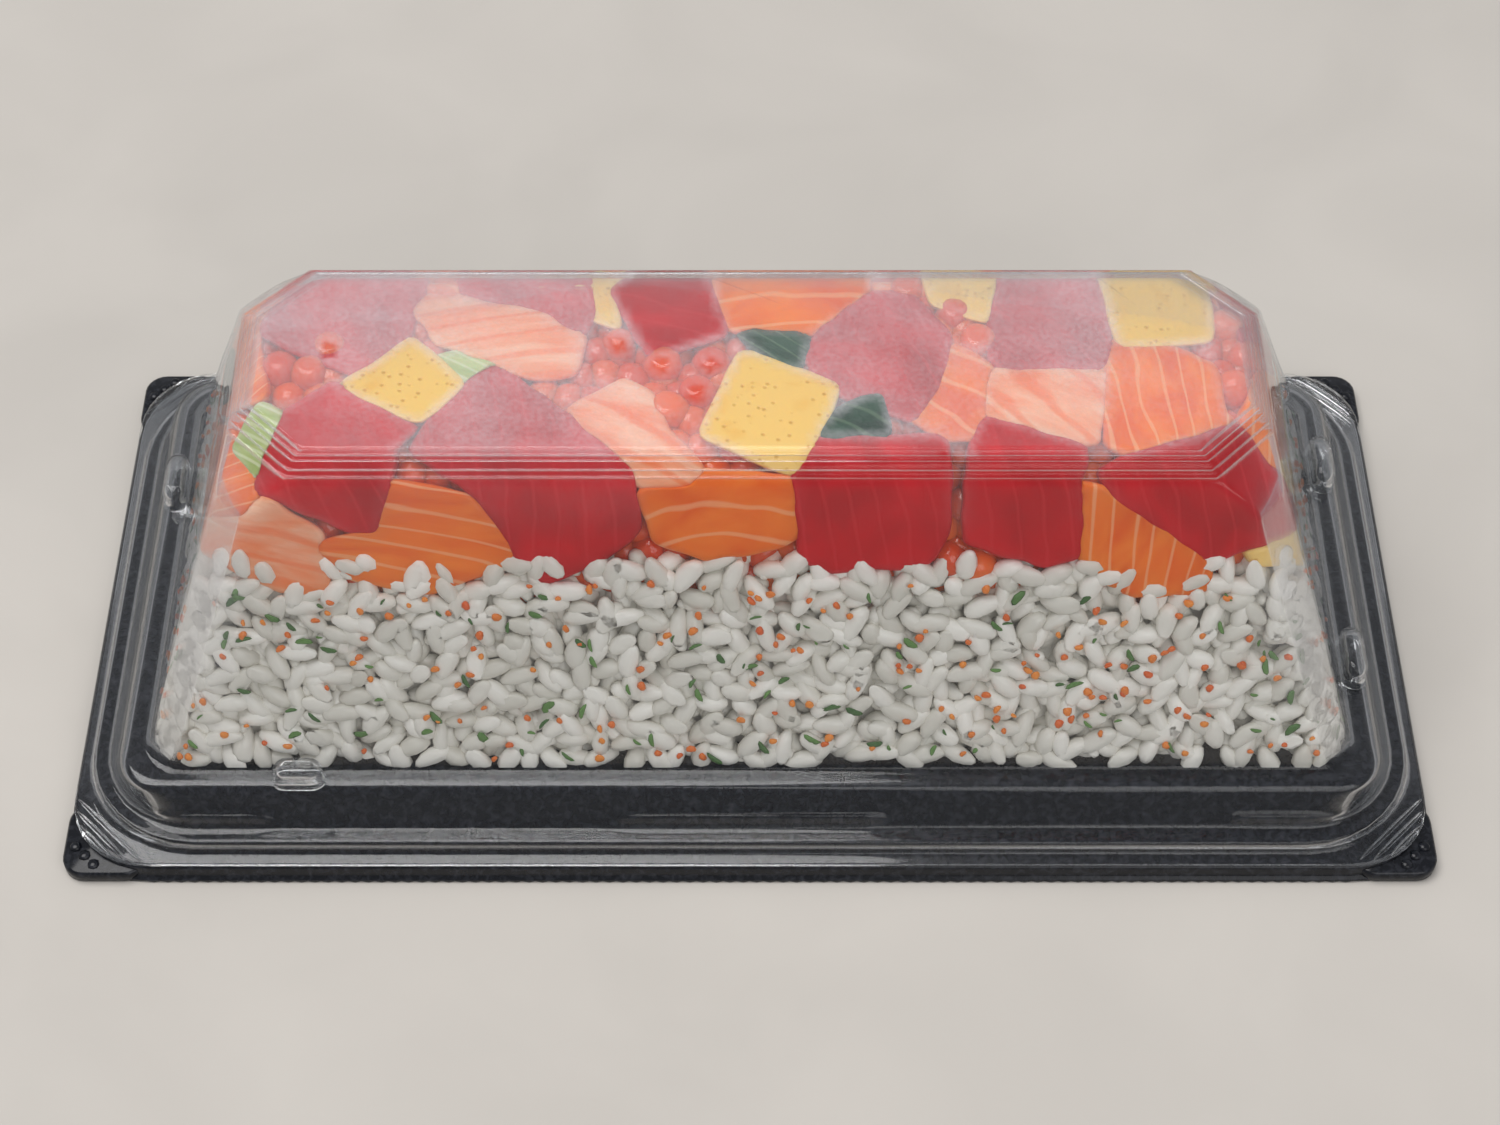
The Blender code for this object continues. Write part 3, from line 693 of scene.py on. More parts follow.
@dataclass(frozen=True)
class Granular:
    """A small wet thing by the hundred: one colour that drifts from piece to piece and place to place."""

    name: str
    dark: tuple[float, float, float]
    light: tuple[float, float, float]
    roughness: float = 0.3
    soft: float = 0.4
    soft_radius: tuple[float, float, float] = (0.003, 0.0025, 0.002)
    scale: float = 260.0
    bump: float = 0.0001

    def material(self, effects: Effects) -> bpy.types.Material:
        """The finish as a material over Object coordinates and the shade attribute.

        Args:
            effects: The shared groups.

        Returns:
            The material.
        """
        nodes = Nodes(self.name)
        place = nodes.add("TexCoord").outputs["Object"]
        shade = nodes.add("Attribute", attribute_name="shade").outputs["Fac"]
        mottle = nodes.group(effects.mottle, {"Vector": place, "Scale": self.scale})
        both = nodes.add("Math", {0: mottle.outputs["Value"], 1: 0.4, 2: -0.2}, operation="MULTIPLY_ADD")
        share = nodes.add("Math", {0: both.outputs[0], 1: shade}, operation="ADD")
        colour = nodes.ramp(share.outputs[0], [(0.1, self.dark), (0.8, self.light)])
        bump = nodes.add("Bump", {
            "Height": mottle.outputs["Height"], "Distance": self.bump, "Strength": 0.5,
        })
        shader = nodes.add("BsdfPrincipled", {
            "Base Color": colour, "Roughness": self.roughness, "Normal": bump.outputs[0],
            "Subsurface Weight": self.soft, "Subsurface Radius": self.soft_radius,
            "Subsurface Scale": 1.0,
        })
        return nodes.finish(shader)


@dataclass(frozen=True)
class BlackTray:
    """Thin black moulded plastic: glossy, faintly wavy, with a little dust and a painted bluish sheen mottled
    into its colour.
    """

    name: str = "tray_black"
    black: tuple[float, float, float] = (0.006, 0.007, 0.010)
    # A lighter bluish grey: partly dust, partly a painted bluish sheen.
    dust_and_sheen: tuple[float, float, float] = (0.03, 0.032, 0.04)

    def material(self, effects: Effects) -> bpy.types.Material:
        """The finish as a material over Object coordinates.

        Args:
            effects: The shared groups.

        Returns:
            The material.
        """
        nodes = Nodes(self.name)
        place = nodes.add("TexCoord").outputs["Object"]
        mottle = nodes.group(effects.mottle, {"Vector": place, "Scale": 45.0})
        fine = nodes.group(effects.mottle, {"Vector": place, "Scale": 900.0})
        # Fine noise mottles the black with dust and a painted bluish sheen.
        colour = nodes.ramp(fine.outputs["Value"], [(0.45, self.black), (0.8, self.dust_and_sheen)])
        rough = nodes.add("MapRange", {"Value": fine.outputs["Height"], "To Min": 0.10, "To Max": 0.22})
        bump = nodes.add("Bump", {"Height": mottle.outputs["Height"], "Distance": 0.0004, "Strength": 0.08})
        shader = nodes.add("BsdfPrincipled", {
            "Base Color": colour, "Roughness": rough.outputs[0], "Normal": bump.outputs[0],
            "Specular IOR Level": 0.3,
        })
        return nodes.finish(shader)


@dataclass(frozen=True)
class ClearLid:
    """Thin clear plastic: it lets light straight through, shines at its edges, and holds a fog of
    fine drops where the mist attribute says."""

    name: str = "lid_clear"
    tint: tuple[float, float, float] = (0.985, 0.99, 0.995)
    fog: tuple[float, float, float] = (0.93, 0.92, 0.96)

    def material(self, effects: Effects) -> bpy.types.Material:
        """The finish as a material: a see-through shader mixed with a gloss by the angle, and with a
        white fog by the mist.

        Args:
            effects: The shared groups.

        Returns:
            The material.
        """
        nodes = Nodes(self.name)
        place = nodes.add("TexCoord").outputs["Object"]
        clear = nodes.add("BsdfTransparent", {"Color": (*self.tint, 1.0)})
        gloss = nodes.add("BsdfAnisotropic", {"Color": (1.0, 1.0, 1.0, 1.0), "Roughness": 0.04})
        angle = nodes.add("Fresnel", {"IOR": 1.45})
        scaled = {0: angle.outputs[0], 1: 0.6, 2: -0.006}
        shine = nodes.add("Math", scaled, operation="MULTIPLY_ADD", use_clamp=True)
        shell = nodes.add("MixShader", {0: shine.outputs[0], 1: clear.outputs[0], 2: gloss.outputs[0]})
        mist = nodes.add("Attribute", attribute_name="mist").outputs["Fac"]
        beads = nodes.add("TexNoise", {"Vector": place, "Scale": 1500.0, "Detail": 0.0})
        bead = nodes.add("MapRange", {
            "Value": beads.outputs[0], "From Min": 0.3, "From Max": 0.7, "To Min": 0.8, "To Max": 1.2,
        })
        share = nodes.add("Math", {0: mist, 1: bead.outputs[0]}, operation="MULTIPLY", use_clamp=True)
        white = nodes.add("BsdfDiffuse", {"Color": (*self.fog, 1.0)})
        shader = nodes.add("MixShader", {0: share.outputs[0], 1: shell.outputs[0], 2: white.outputs[0]})
        return nodes.finish(shader)


class Finish(Enum):
    """The finishes of the toppings, by the record's slots."""

    TUNA = "tuna"
    SALMON = "salmon"
    SHRIMP = "shrimp"
    EGG = "egg"
    CUCUMBER = "cucumber"
    LEAF = "leaf"
    ROE = "roe"


@dataclass
class Pantry:
    """Every material of the cake, made once."""

    effects: Effects = field(default_factory=Effects)
    made: dict[str, bpy.types.Material] = field(default_factory=dict)

    def recipe(self, name: str) -> Flesh | Omelette | Granular | BlackTray | ClearLid:
        """The finish that goes by a name.

        Args:
            name: The finish's name.

        Returns:
            The finish.
        """
        recipes = (
            Flesh("tuna", (0.44, 0.0, 0.004), (0.66, 0.004, 0.012), (0.70, 0.03, 0.04), 80.0, 0.07,
                  line_share=0.3, mottle_scale=95.0, bump=0.00024),
            Flesh("salmon", (0.83, 0.13, 0.012), (0.95, 0.24, 0.03), (0.95, 0.50, 0.26), 62.0, 0.09,
                  line_bend=4.4, line_share=0.55, bump=0.00024,
                  soft_radius=(0.004, 0.0015, 0.0006)),
            Flesh("shrimp", (0.92, 0.24, 0.07), (0.95, 0.54, 0.36), (0.90, 0.18, 0.03), 42.0, 0.28,
                  line_bend=9.0, line_share=0.6, mottle_scale=170.0, soft=0.3,
                  soft_radius=(0.004, 0.002, 0.0015)),
            Omelette(),
            Flesh("cucumber", (0.34, 0.45, 0.13), (0.60, 0.68, 0.34), (0.78, 0.82, 0.60), 110.0, 0.3,
                  line_bend=1.2, line_share=0.5),
            Flesh("leaf", (0.012, 0.045, 0.026), (0.035, 0.10, 0.06), (0.12, 0.20, 0.12), 90.0, 0.10,
                  line_bend=4.0, line_share=0.6, soft=0.0, roughness=0.35, bump=0.0016),
            Granular("roe", (0.72, 0.05, 0.006), (0.92, 0.15, 0.02), roughness=0.1, soft=0.5,
                     soft_radius=(0.004, 0.0012, 0.0005), scale=120.0, bump=0.0),
            Granular("rice", (0.68, 0.655, 0.58), (0.92, 0.895, 0.83), roughness=0.28, soft=0.0,
                     bump=0.00006),
            Granular("orange_fleck", (0.75, 0.10, 0.01), (0.92, 0.27, 0.03), soft=0.2),
            Granular("green_fleck", (0.03, 0.11, 0.02), (0.12, 0.27, 0.06), soft=0.0, roughness=0.45),
            BlackTray(),
            ClearLid(),
        )
        return {recipe.name: recipe for recipe in recipes}[name]

    def dress(self, piece: bpy.types.Object, name: str) -> None:
        """Gives a piece a finish, made at its first use.

        Args:
            piece: The piece.
            name: The finish's name.
        """
        if name not in self.made:
            self.made[name] = self.recipe(name).material(self.effects)
        piece.data.materials.clear()
        piece.data.materials.append(self.made[name])


@dataclass
class Topping:
    """One cut piece: a block that runs straight in from its outline, its face pressed by the lid.
    Its outline is spread a little, its edge rounded, and it ducks this far under what lies on it
    and stays this far from the room's other side."""

    name: str
    finish: Finish
    wet: float
    corners: list[tuple[float, float]]
    rear: bool = False
    thick: float = 12.0
    spread: float = 0.75
    edge: float = 0.95
    firm_edge: float = 0.5
    duck: float = 8.0
    behind: float = 4.5
    steps: int = 120
    rings: int = 26

    def outline(self) -> np.ndarray:
        """The corners cut twice and the sides wavered, as evenly spaced points.

        Returns:
            Places on the slanted plane, in order.
        """
        line = np.array(self.corners, float)
        for share in (0.08, 0.22):
            after = np.roll(line, -1, axis=0)
            line = np.stack([line + (after - line) * share, after + (line - after) * share], 1)
            line = line.reshape(-1, 2)
        closed = np.concatenate([line, line[:1]])
        run = np.concatenate([[0.0], np.linalg.norm(np.diff(closed, axis=0), axis=1).cumsum()])
        at = np.linspace(0.0, run[-1], self.steps, endpoint=False)
        even = np.stack([np.interp(at, run, closed[:, i]) for i in (0, 1)], 1)
        side = np.roll(even, -1, axis=0) - np.roll(even, 1, axis=0)
        normal = np.stack([side[:, 1], -side[:, 0]], 1)
        normal /= np.maximum(np.linalg.norm(normal, axis=1, keepdims=True), 1e-9)
        ahead = np.roll(even, -1, axis=0)
        turn = np.sign((even[:, 0] * ahead[:, 1] - ahead[:, 0] * even[:, 1]).sum())
        size = 0.1 if self.finish is Finish.EGG else 0.3
        grown = self.spread * turn + size * waves(even, 6.0, len(self.name) * 7)
        return even + normal * grown[:, None]

    def middle(self, outline: np.ndarray) -> np.ndarray:
        """The place furthest inside an outline, from a coarse grid of tries.

        Args:
            outline: The outline's corners in order.

        Returns:
            The place on the slanted plane.
        """
        low, high = outline.min(0), outline.max(0)
        x, s = np.meshgrid(np.linspace(low[0], high[0], 25), np.linspace(low[1], high[1], 25))
        tries = np.stack([x.ravel(), s.ravel()], 1)
        return tries[distance_inside(tries, outline).argmax()]

    def points(self, room: Room, above: list["Topping"]) -> np.ndarray:
        """The block's points: up the sides, over the rounded edge and in to the middle. The face's
        reach is the room's, less the edge's quarter round, less a swell where the lid doesn't
        press, and it ducks under every piece that lies on this one.

        Args:
            room: The room inside the lid.
            above: The pieces that lie on this one.

        Returns:
            Points by row and place round the piece.
        """
        outline = room.within(self.outline(), self.rear)
        middle = self.middle(outline)
        share = 1.0 - np.linspace(0.0, 1.0, self.rings + 1)[:, None, None] ** 1.25
        places = middle + (outline - middle) * share
        edge = self.firm_edge if self.finish in (Finish.EGG, Finish.CUCUMBER) else self.edge
        inside = np.clip(distance_inside(places, outline) / edge, 0.0, 1.0)
        drop = edge * (1.0 - np.sqrt(1.0 - (1.0 - inside) ** 2))
        swell = 0.10 + (1.0 - self.wet) * 0.45 * (1.0 + waves(places, 9.0, len(self.name) * 3 + 1))
        duck = np.zeros(inside.shape)
        for other in above:
            covered = distance_inside(places, other.outline())
            duck = np.maximum(duck, self.duck * smooth_step((covered - 0.3) / 1.1))
        reach = room.reach_at(places, self.rear) - drop - swell - duck
        shares = np.array([1.0, 0.7, 0.4, 0.2, 0.08])[:, None]
        sides = np.broadcast_to(outline, (len(shares), *outline.shape))
        depth = reach[:1] - room.far_reach(outline, self.rear) - self.behind
        thick = np.clip(depth, 0.6, self.thick)
        deep = reach[:1] - thick * shares
        pole = np.full(deep[:1].shape, deep[0].mean())
        rows = np.concatenate([
            on_slant(np.broadcast_to(middle, (1, *outline.shape)), pole, self.rear),
            on_slant(sides, deep, self.rear),
            on_slant(places, reach, self.rear),
        ])
        rows[..., 2] = np.maximum(rows[..., 2], CUT_FLOOR)
        return room.pressed(rows)

    def build(self, room: Room, above: list["Topping"], pantry: Pantry) -> bpy.types.Object:
        """The piece's mesh, its cut attribute and its finish.

        Args:
            room: The room inside the lid.
            above: The pieces that lie on this one.
            pantry: The materials.

        Returns:
            The piece.
        """
        points = self.points(room, above)
        piece = put_mesh(self.name + "_cut", points, grid_faces(*points.shape[:2], True), weld=True)
        flat = points_of(piece)
        draw = np.random.default_rng(sum(map(ord, self.name)))
        angle = draw.uniform(-0.5, 0.5) + (0.9 if self.finish is Finish.SALMON else 0.3)
        mirror = np.array([1.0, -1.0 if self.rear else 1.0, 1.0])
        x, s, reach = flat[:, 0], (flat * mirror) @ UP_SLANT, (flat * mirror) @ ALONG
        along = x * math.cos(angle) + s * math.sin(angle)
        across = s * math.cos(angle) - x * math.sin(angle)
        bow = along + 0.018 * across**2 * (0.4 if self.finish is Finish.TUNA else 1.0)
        put_values(piece, "cut", np.stack([bow, across * 0.7, reach], 1) * MM)
        pantry.dress(piece, self.finish.value)
        dress_up(piece, self.finish.value, self.name)
        return piece


def dress_up(piece: bpy.types.Object, slot: str, *nodes: str) -> None:
    """Puts a piece under its body, hides the nodes of the solid model that it stands for, and reports it.

    Args:
        piece: The piece.
        slot: The record's material slot; not used.
        *nodes: The nodes of the solid model that it replaces.
    """
    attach(piece, "root")
    if nodes:
        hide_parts(*nodes)
    log.info("%s: %d points", piece.name, len(piece.data.vertices))


def unit_ball(sides: int, bands: int) -> tuple[np.ndarray, np.ndarray]:
    """A ball of radius one: two poles, and bands at even steps of the angle from pole to pole.

    Args:
        sides: Points in each band.
        bands: How many bands.

    Returns:
        Its points, and its triangles as point numbers.
    """
    turn = np.arange(sides) * 2.0 * math.pi / sides
    fall = np.linspace(0.0, math.pi, bands + 2)[1:-1]
    rings = np.stack([
        np.sin(fall)[:, None] * np.cos(turn),
        np.sin(fall)[:, None] * np.sin(turn),
        np.cos(fall)[:, None] * np.ones(sides),
    ], -1).reshape(-1, 3)
    points = np.concatenate([rings, [[0.0, 0.0, 1.0]], [[0.0, 0.0, -1.0]]])
    quads = grid_faces(bands, sides, True)
    body = np.concatenate([quads[:, [0, 1, 2]], quads[:, [0, 2, 3]]])
    here = np.arange(sides)
    after = (here + 1) % sides
    last = (bands - 1) * sides
    top = np.stack([np.full(sides, len(rings)), here, after], 1)
    foot = np.stack([np.full(sides, len(rings) + 1), last + after, last + here], 1)
    return points, np.concatenate([body, top, foot])


def ball_grid(sides: int, bands: int) -> np.ndarray:
    """A ball of radius one as rows of points from pole to pole: the sine and cosine of the fall
    times those of the turn. Each pole is a row on one place, which welding closes.

    Args:
        sides: Points in each row.
        bands: Rows between the poles.

    Returns:
        Its points by row and place in the row.
    """
    turn = np.arange(sides) * 2.0 * math.pi / sides
    fall = np.linspace(0.0, math.pi, bands + 2)[:, None]
    flat = np.sin(fall)
    return np.stack([flat * np.cos(turn), flat * np.sin(turn), np.cos(fall) * np.ones(sides)], -1)


@dataclass
class Lumps:
    """Small rounded things by the hundred, each a ball of eight sides and five bands made long,
    flat and bent by its own sizes, and pressed flat where it meets the lid."""

    name: str
    slot: str
    finish: str
    centres: np.ndarray
    lengths: np.ndarray
    widths: np.ndarray
    heights: np.ndarray
    sizes: np.ndarray
    bend: float = 0.10
    shrink: float = 0.0
    sides: int = 8
    bands: int = 5

    def build(self, room: Room, pantry: Pantry, nodes: tuple[str, ...] = ()) -> bpy.types.Object:
        """Every lump in one mesh, with a shade that changes from lump to lump.

        Args:
            room: What the lumps are pressed by.
            pantry: The materials.
            nodes: The nodes that the piece stands for.

        Returns:
            The piece.
        """
        points, faces = unit_ball(self.sides, self.bands)
        draw = np.random.default_rng(len(self.centres))
        count = len(self.centres)
        taper = draw.uniform(-0.18, 0.18, (count, 1))
        length = points[:, 2] * self.sizes[:, :1]
        narrow = 1.0 + taper * points[:, 2]
        width = points[:, 0] * self.sizes[:, 1:2] * narrow
        width = width + self.bend * self.sizes[:, :1] * (points[:, 2] ** 2 - 0.5)
        height = points[:, 1] * self.sizes[:, 2:3] * narrow
        placed = (
            self.centres[:, None]
            + length[..., None] * self.lengths[:, None]
            + width[..., None] * self.widths[:, None]
            + height[..., None] * self.heights[:, None]
        )
        placed = room.pressed(placed, self.shrink)
        steps = np.arange(count)[:, None, None] * len(points)
        piece = put_mesh(self.name, placed, (faces + steps).reshape(-1, 3))
        put_values(piece, "shade", np.repeat(draw.uniform(0.15, 0.85, count), len(points)))
        pantry.dress(piece, self.finish)
        dress_up(piece, self.slot, *nodes)
        return piece


@dataclass(frozen=True)
class Wall:
    """One long or short side of the food, seen square on."""

    name: str
    side: tuple[int, int]

    def frame(self) -> tuple[np.ndarray, np.ndarray, np.ndarray, np.ndarray]:
        """The wall's foot, and its ways along, up and out.

        Returns:
            The middle of its foot in millimetres, and three unit vectors.
        """
        low, high = ROOM_KEYS[0], ROOM_KEYS[1]
        way = np.array([self.side[0], self.side[1], 0.0])
        along = np.array([-way[1], way[0], 0.0])
        reach = [abs(way[0]) * r[0] + abs(way[1]) * r[1] for r in (low, high)]
        foot = way * reach[0] + np.array([0.0, 0.0, low[4]])
        up = way * (reach[1] - reach[0]) + np.array([0.0, 0.0, high[4] - low[4]])
        up /= np.linalg.norm(up)
        return foot, along, up, np.cross(along, up)

    def half_at(self, height: np.ndarray) -> np.ndarray:
        """Half the wall's length, less a grain's width, at a height up its slope.

        Args:
            height: Heights in millimetres.

        Returns:
            Half lengths.
        """
        low, high = ROOM_KEYS[0], ROOM_KEYS[1]
        index = 1 if self.side[0] else 0
        return low[index] + (high[index] - low[index]) * height / 47.0 - 1.5

    def scattered(
        self, pitch: tuple[float, float], span: tuple[float, float], jitter: float, seed: int
    ) -> np.ndarray:
        """Places on the wall in staggered rows, each moved a little.

        Args:
            pitch: Spacing along and up.
            span: Lowest and highest row.
            jitter: How far a place may move, as a share of the spacing.
            seed: What the moves are drawn from.

        Returns:
            Along and up for each place.
        """
        draw = np.random.default_rng(seed)
        rows = np.arange(span[0], span[1], pitch[1])
        half = float(self.half_at(np.array(0.0)))
        steps = np.arange(-half, half, pitch[0])
        along, up = np.meshgrid(steps, rows)
        along = along + (np.arange(len(rows)) % 2)[:, None] * pitch[0] / 2
        places = np.stack([along.ravel(), up.ravel()], 1)
        places += draw.uniform(-jitter, jitter, places.shape) * np.array(pitch)
        return places[np.abs(places[:, 0]) < self.half_at(places[:, 1])]


@dataclass
class Rice:
    """The block of rice: a bumpy core, layers of whole grains on its four sides, and flecks. A
    kind of fleck has a name, a count for a long side, and ranges of half length, of width as a
    share of that, and of half thickness."""

    walls: tuple[Wall, ...] = (
        Wall("front", (0, -1)), Wall("back", (0, 1)), Wall("left", (-1, 0)), Wall("right", (1, 0)),
    )
    pitch: tuple[float, float] = (3.9, 3.15)
    layers: tuple[float, ...] = (1.3, 3.0, 4.6)
    top: float = 38.0
    end_top: float = 30.0
    inset: float = 2.9
    fleck_kinds: tuple[tuple, ...] = (
        ("orange_fleck", 170, (0.45, 0.9), (0.6, 0.95), (0.3, 0.5)),
        ("green_fleck", 110, (0.6, 1.6), (0.25, 0.5), (0.08, 0.14)),
    )

    def core(self, pantry: Pantry) -> bpy.types.Object:
        """The block inside the grains: the rice's rings drawn in and dented by a swell.

        Args:
            pantry: The materials.

        Returns:
            The piece.
        """
        rings = filleted(RICE_KEYS[::-1] - np.array([self.inset, self.inset, 0.0, 0.0, 0.0]), np.full(5, 2.0))
        wall = np.linspace(0.0, 1.0, 14)[:, None]
        rings = np.concatenate([rings[:-1], rings[-2] + (rings[-1] - rings[-2]) * wall[1:]])
        lid = np.linspace(0.04, 0.96, 8)[:, None]
        cap = rings[0] * np.concatenate([lid, lid, lid, np.ones((8, 1)), np.ones((8, 1))], 1)
        loops = ring_loops(np.concatenate([cap, rings]), 70, 28, 4)
        outward = loops * np.array([1.0, 1.0, 0.0])
        outward /= np.maximum(np.linalg.norm(outward, axis=-1, keepdims=True), 1e-6)
        loops = loops + outward * waves(loops, 5.0, 3)[..., None] * 0.7
        floor = loops[-1:].mean(1, keepdims=True) * np.ones_like(loops[-1:])
        peak = loops[:1].mean(1, keepdims=True) * np.ones_like(loops[:1])
        points = np.concatenate([peak, loops, floor])
        piece = put_mesh("rice_core", points, grid_faces(*points.shape[:2], True), weld=True)
        put_values(piece, "shade", np.full(len(piece.data.vertices), 0.6))
        pantry.dress(piece, "rice")
        dress_up(piece, "rice", "rice")
        return piece

    def free(self, points: np.ndarray, toppings: list[Topping], least: float) -> np.ndarray:
        """Which points no topping's outline covers by more than the least distance.

        Args:
            points: Places in millimetres.
            toppings: The cut pieces.
            least: How far inside an outline a point may be.

        Returns:
            True or false for each point.
        """
        rear = (points[:, 1] > 5.0) & (np.abs(points[:, 0]) < 72.0)
        mirrored = points * np.where(rear, -1.0, 1.0)[:, None] ** np.array([0.0, 1.0, 0.0])
        places = np.stack([mirrored[:, 0], mirrored @ UP_SLANT], 1)
        kept = np.ones(len(points), bool)
        for topping in toppings:
            covered = distance_inside(places, np.array(topping.corners, float)) > least
            kept &= ~(covered & (rear == topping.rear) & (points[:, 2] > SHELF + 20.0))
        return kept

    def grains(self, room: Room, pantry: Pantry, toppings: list[Topping]) -> None:
        """Whole grains, a piece for each layer of each wall.

        Args:
            room: The room inside the lid.
            pantry: The materials.
            toppings: The cut pieces, under which no grain is laid.
        """
        for number, wall in enumerate(self.walls):
            foot, along, up, out = wall.frame()
            for layer, depth in enumerate(self.layers):
                seed = 40 + number * 7 + layer
                draw = np.random.default_rng(seed)
                top = self.top if wall.side[1] else self.end_top
                places = wall.scattered(self.pitch, (1.2, top), 0.42, seed)
                count = len(places)
                inward = depth + draw.uniform(-0.6, 0.6, count)
                centres = foot + places[:, :1] * along + places[:, 1:] * up - inward[:, None] * out
                kept = self.free(centres + out, toppings, 2.4)
                centres, count = centres[kept], int(kept.sum())
                turn = draw.uniform(0.0, math.pi, count)
                tilt = draw.normal(0.0, 0.28 + 0.1 * layer, count)
                flat = np.cos(turn)[:, None] * along + np.sin(turn)[:, None] * up
                length = np.cos(tilt)[:, None] * flat + np.sin(tilt)[:, None] * out
                width = np.cross(length, out)
                width /= np.linalg.norm(width, axis=1, keepdims=True)
                sizes = np.stack([
                    draw.uniform(2.6, 3.5, count), draw.uniform(1.4, 1.8, count),
                    draw.uniform(1.3, 1.65, count),
                ], 1)
                Lumps(
                    f"rice_{wall.name}_{layer}", "rice", "rice", centres, length, width,
                    np.cross(width, length), sizes,
                ).build(room, pantry, ("rice",))

    def flecks(self, room: Room, pantry: Pantry, toppings: list[Topping]) -> None:
        """Orange grains of roe and green flakes of herb between the rice and the lid.

        Args:
            room: The room inside the lid.
            pantry: The materials.
            toppings: The cut pieces, over which none is laid.
        """
        for name, count, half, narrow, thick in self.fleck_kinds:
            parts = []
            for number, wall in enumerate(self.walls):
                foot, along, up, out = wall.frame()
                draw = np.random.default_rng(900 + number + len(name))
                many = count if wall.side[1] else count // 3
                height = draw.uniform(1.5, 34.0, many)
                place = draw.uniform(-1.0, 1.0, many) * wall.half_at(height)
                depth = draw.uniform(-0.3, 0.1, many)
                centres = foot + place[:, None] * along + height[:, None] * up - depth[:, None] * out
                kept = self.free(centres, toppings, -1.0)
                centres, many = centres[kept], int(kept.sum())
                turn = draw.uniform(0.0, math.pi, many)
                length = np.cos(turn)[:, None] * along + np.sin(turn)[:, None] * up
                length = length + draw.normal(0.0, 0.25, (many, 1)) * out
                length /= np.linalg.norm(length, axis=1, keepdims=True)
                width = np.cross(length, out)
                width /= np.linalg.norm(width, axis=1, keepdims=True)
                long = draw.uniform(*half, many)
                share = draw.uniform(*narrow, many)
                sizes = np.stack([long, long * share, draw.uniform(*thick, many)], 1)
                parts.append((centres, length, width, np.cross(width, length), sizes))
            arrays = [np.concatenate(part) for part in zip(*parts)]
            Lumps(name + "s", "rice", name, *arrays, bend=0.2, shrink=-0.4, bands=3, sides=6).build(
                room, pantry
            )

    def build(self, room: Room, pantry: Pantry, toppings: list[Topping]) -> None:
        """The core, the grains and the flecks.

        Args:
            room: The room inside the lid.
            pantry: The materials.
            toppings: The cut pieces.
        """
        self.core(pantry)
        self.grains(room, pantry, toppings)
        self.flecks(room, pantry, toppings)


@dataclass
class RoeCluster:
    """Round eggs of roe laid close together in an outline, pressed flat where they meet the lid."""

    name: str
    corners: list[tuple[float, float]]
    radius: float = 3.1
    pitch: float = 5.2
    sink: float = 0.0
    margin: float = 0.4
    fixed: tuple[tuple[float, float], ...] = ()

    def places(self, covers: list[np.ndarray]) -> np.ndarray:
        """The fixed places, and staggered ones inside the outline and clear of what covers it.

        Args:
            covers: Outlines under which no egg is laid.

        Returns:
            Places on the slanted plane.
        """
        outline = np.array(self.corners, float)
        low, high = outline.min(0), outline.max(0)
        rows = np.arange(low[1], high[1], self.pitch * 0.87)
        x, s = np.meshgrid(np.arange(low[0], high[0], self.pitch), rows)
        x = x + (np.arange(len(rows)) % 2)[:, None] * self.pitch / 2
        places = np.stack([x.ravel(), s.ravel()], 1)
        draw = np.random.default_rng(len(places))
        places += draw.uniform(-0.6, 0.6, places.shape)
        kept = distance_inside(places, outline) > self.margin
        for cover in covers:
            kept &= distance_inside(places, cover) < 1.6
        fixed = np.array(self.fixed, float).reshape(-1, 2)
        for place in fixed:
            kept &= np.linalg.norm(places - place, axis=1) > self.pitch * 0.8
        return np.concatenate([fixed, places[kept]])

    def build(self, room: Room, pantry: Pantry, covers: list[np.ndarray], nodes: tuple[str, ...]) -> None:
        """The eggs as one piece.

        Args:
            room: The room inside the lid.
            pantry: The materials.
            covers: Outlines under which no egg is laid.
            nodes: The nodes that the piece stands for.
        """
        places = self.places(covers)
        count = len(places)
        draw = np.random.default_rng(count + 5)
        depth = self.radius * 0.93 + self.sink + draw.uniform(0.0, 0.5, count)
        centres = on_slant(places, room.reach_at(places, softness=1.5) - depth)
        axes = [np.tile(axis, (count, 1)) for axis in np.eye(3)]
        sizes = np.full((count, 3), self.radius) * draw.uniform(0.92, 1.03, (count, 1))
        Lumps(
            self.name, Finish.ROE.value, Finish.ROE.value, centres, *axes, sizes,
            bend=0.0, sides=22, bands=13,
        ).build(room, pantry, nodes)


def respaced(rings: np.ndarray, steps: Callable[[float], float]) -> np.ndarray:
    """Rows added to a profile so that none is further from the next than its height allows.

    Args:
        rings: Ring numbers, row by row.
        steps: The longest step at a height.

    Returns:
        Ring numbers, more rows of them.
    """
    rows = []
    for low, high in zip(rings[:-1], rings[1:]):
        length = math.hypot(high[1] - low[1], high[4] - low[4])
        count = max(1, math.ceil(length / steps((low[4] + high[4]) / 2)))
        rows.append(low + (high - low) * np.linspace(0.0, 1.0, count, endpoint=False)[:, None])
    return np.concatenate([*rows, rings[-1:]])


def joined(parts: list[tuple[np.ndarray, np.ndarray]]) -> tuple[np.ndarray, np.ndarray]:
    """Several meshes as one, the face numbers moved on.

    Args:
        parts: Each mesh's points and faces.

    Returns:
        All points and all faces.
    """
    points, faces, start = [], [], 0
    for more_points, more_faces in parts:
        points.append(more_points.reshape(-1, 3))
        faces.append(more_faces + start)
        start += len(points[-1])
    return np.concatenate(points), np.concatenate(faces)


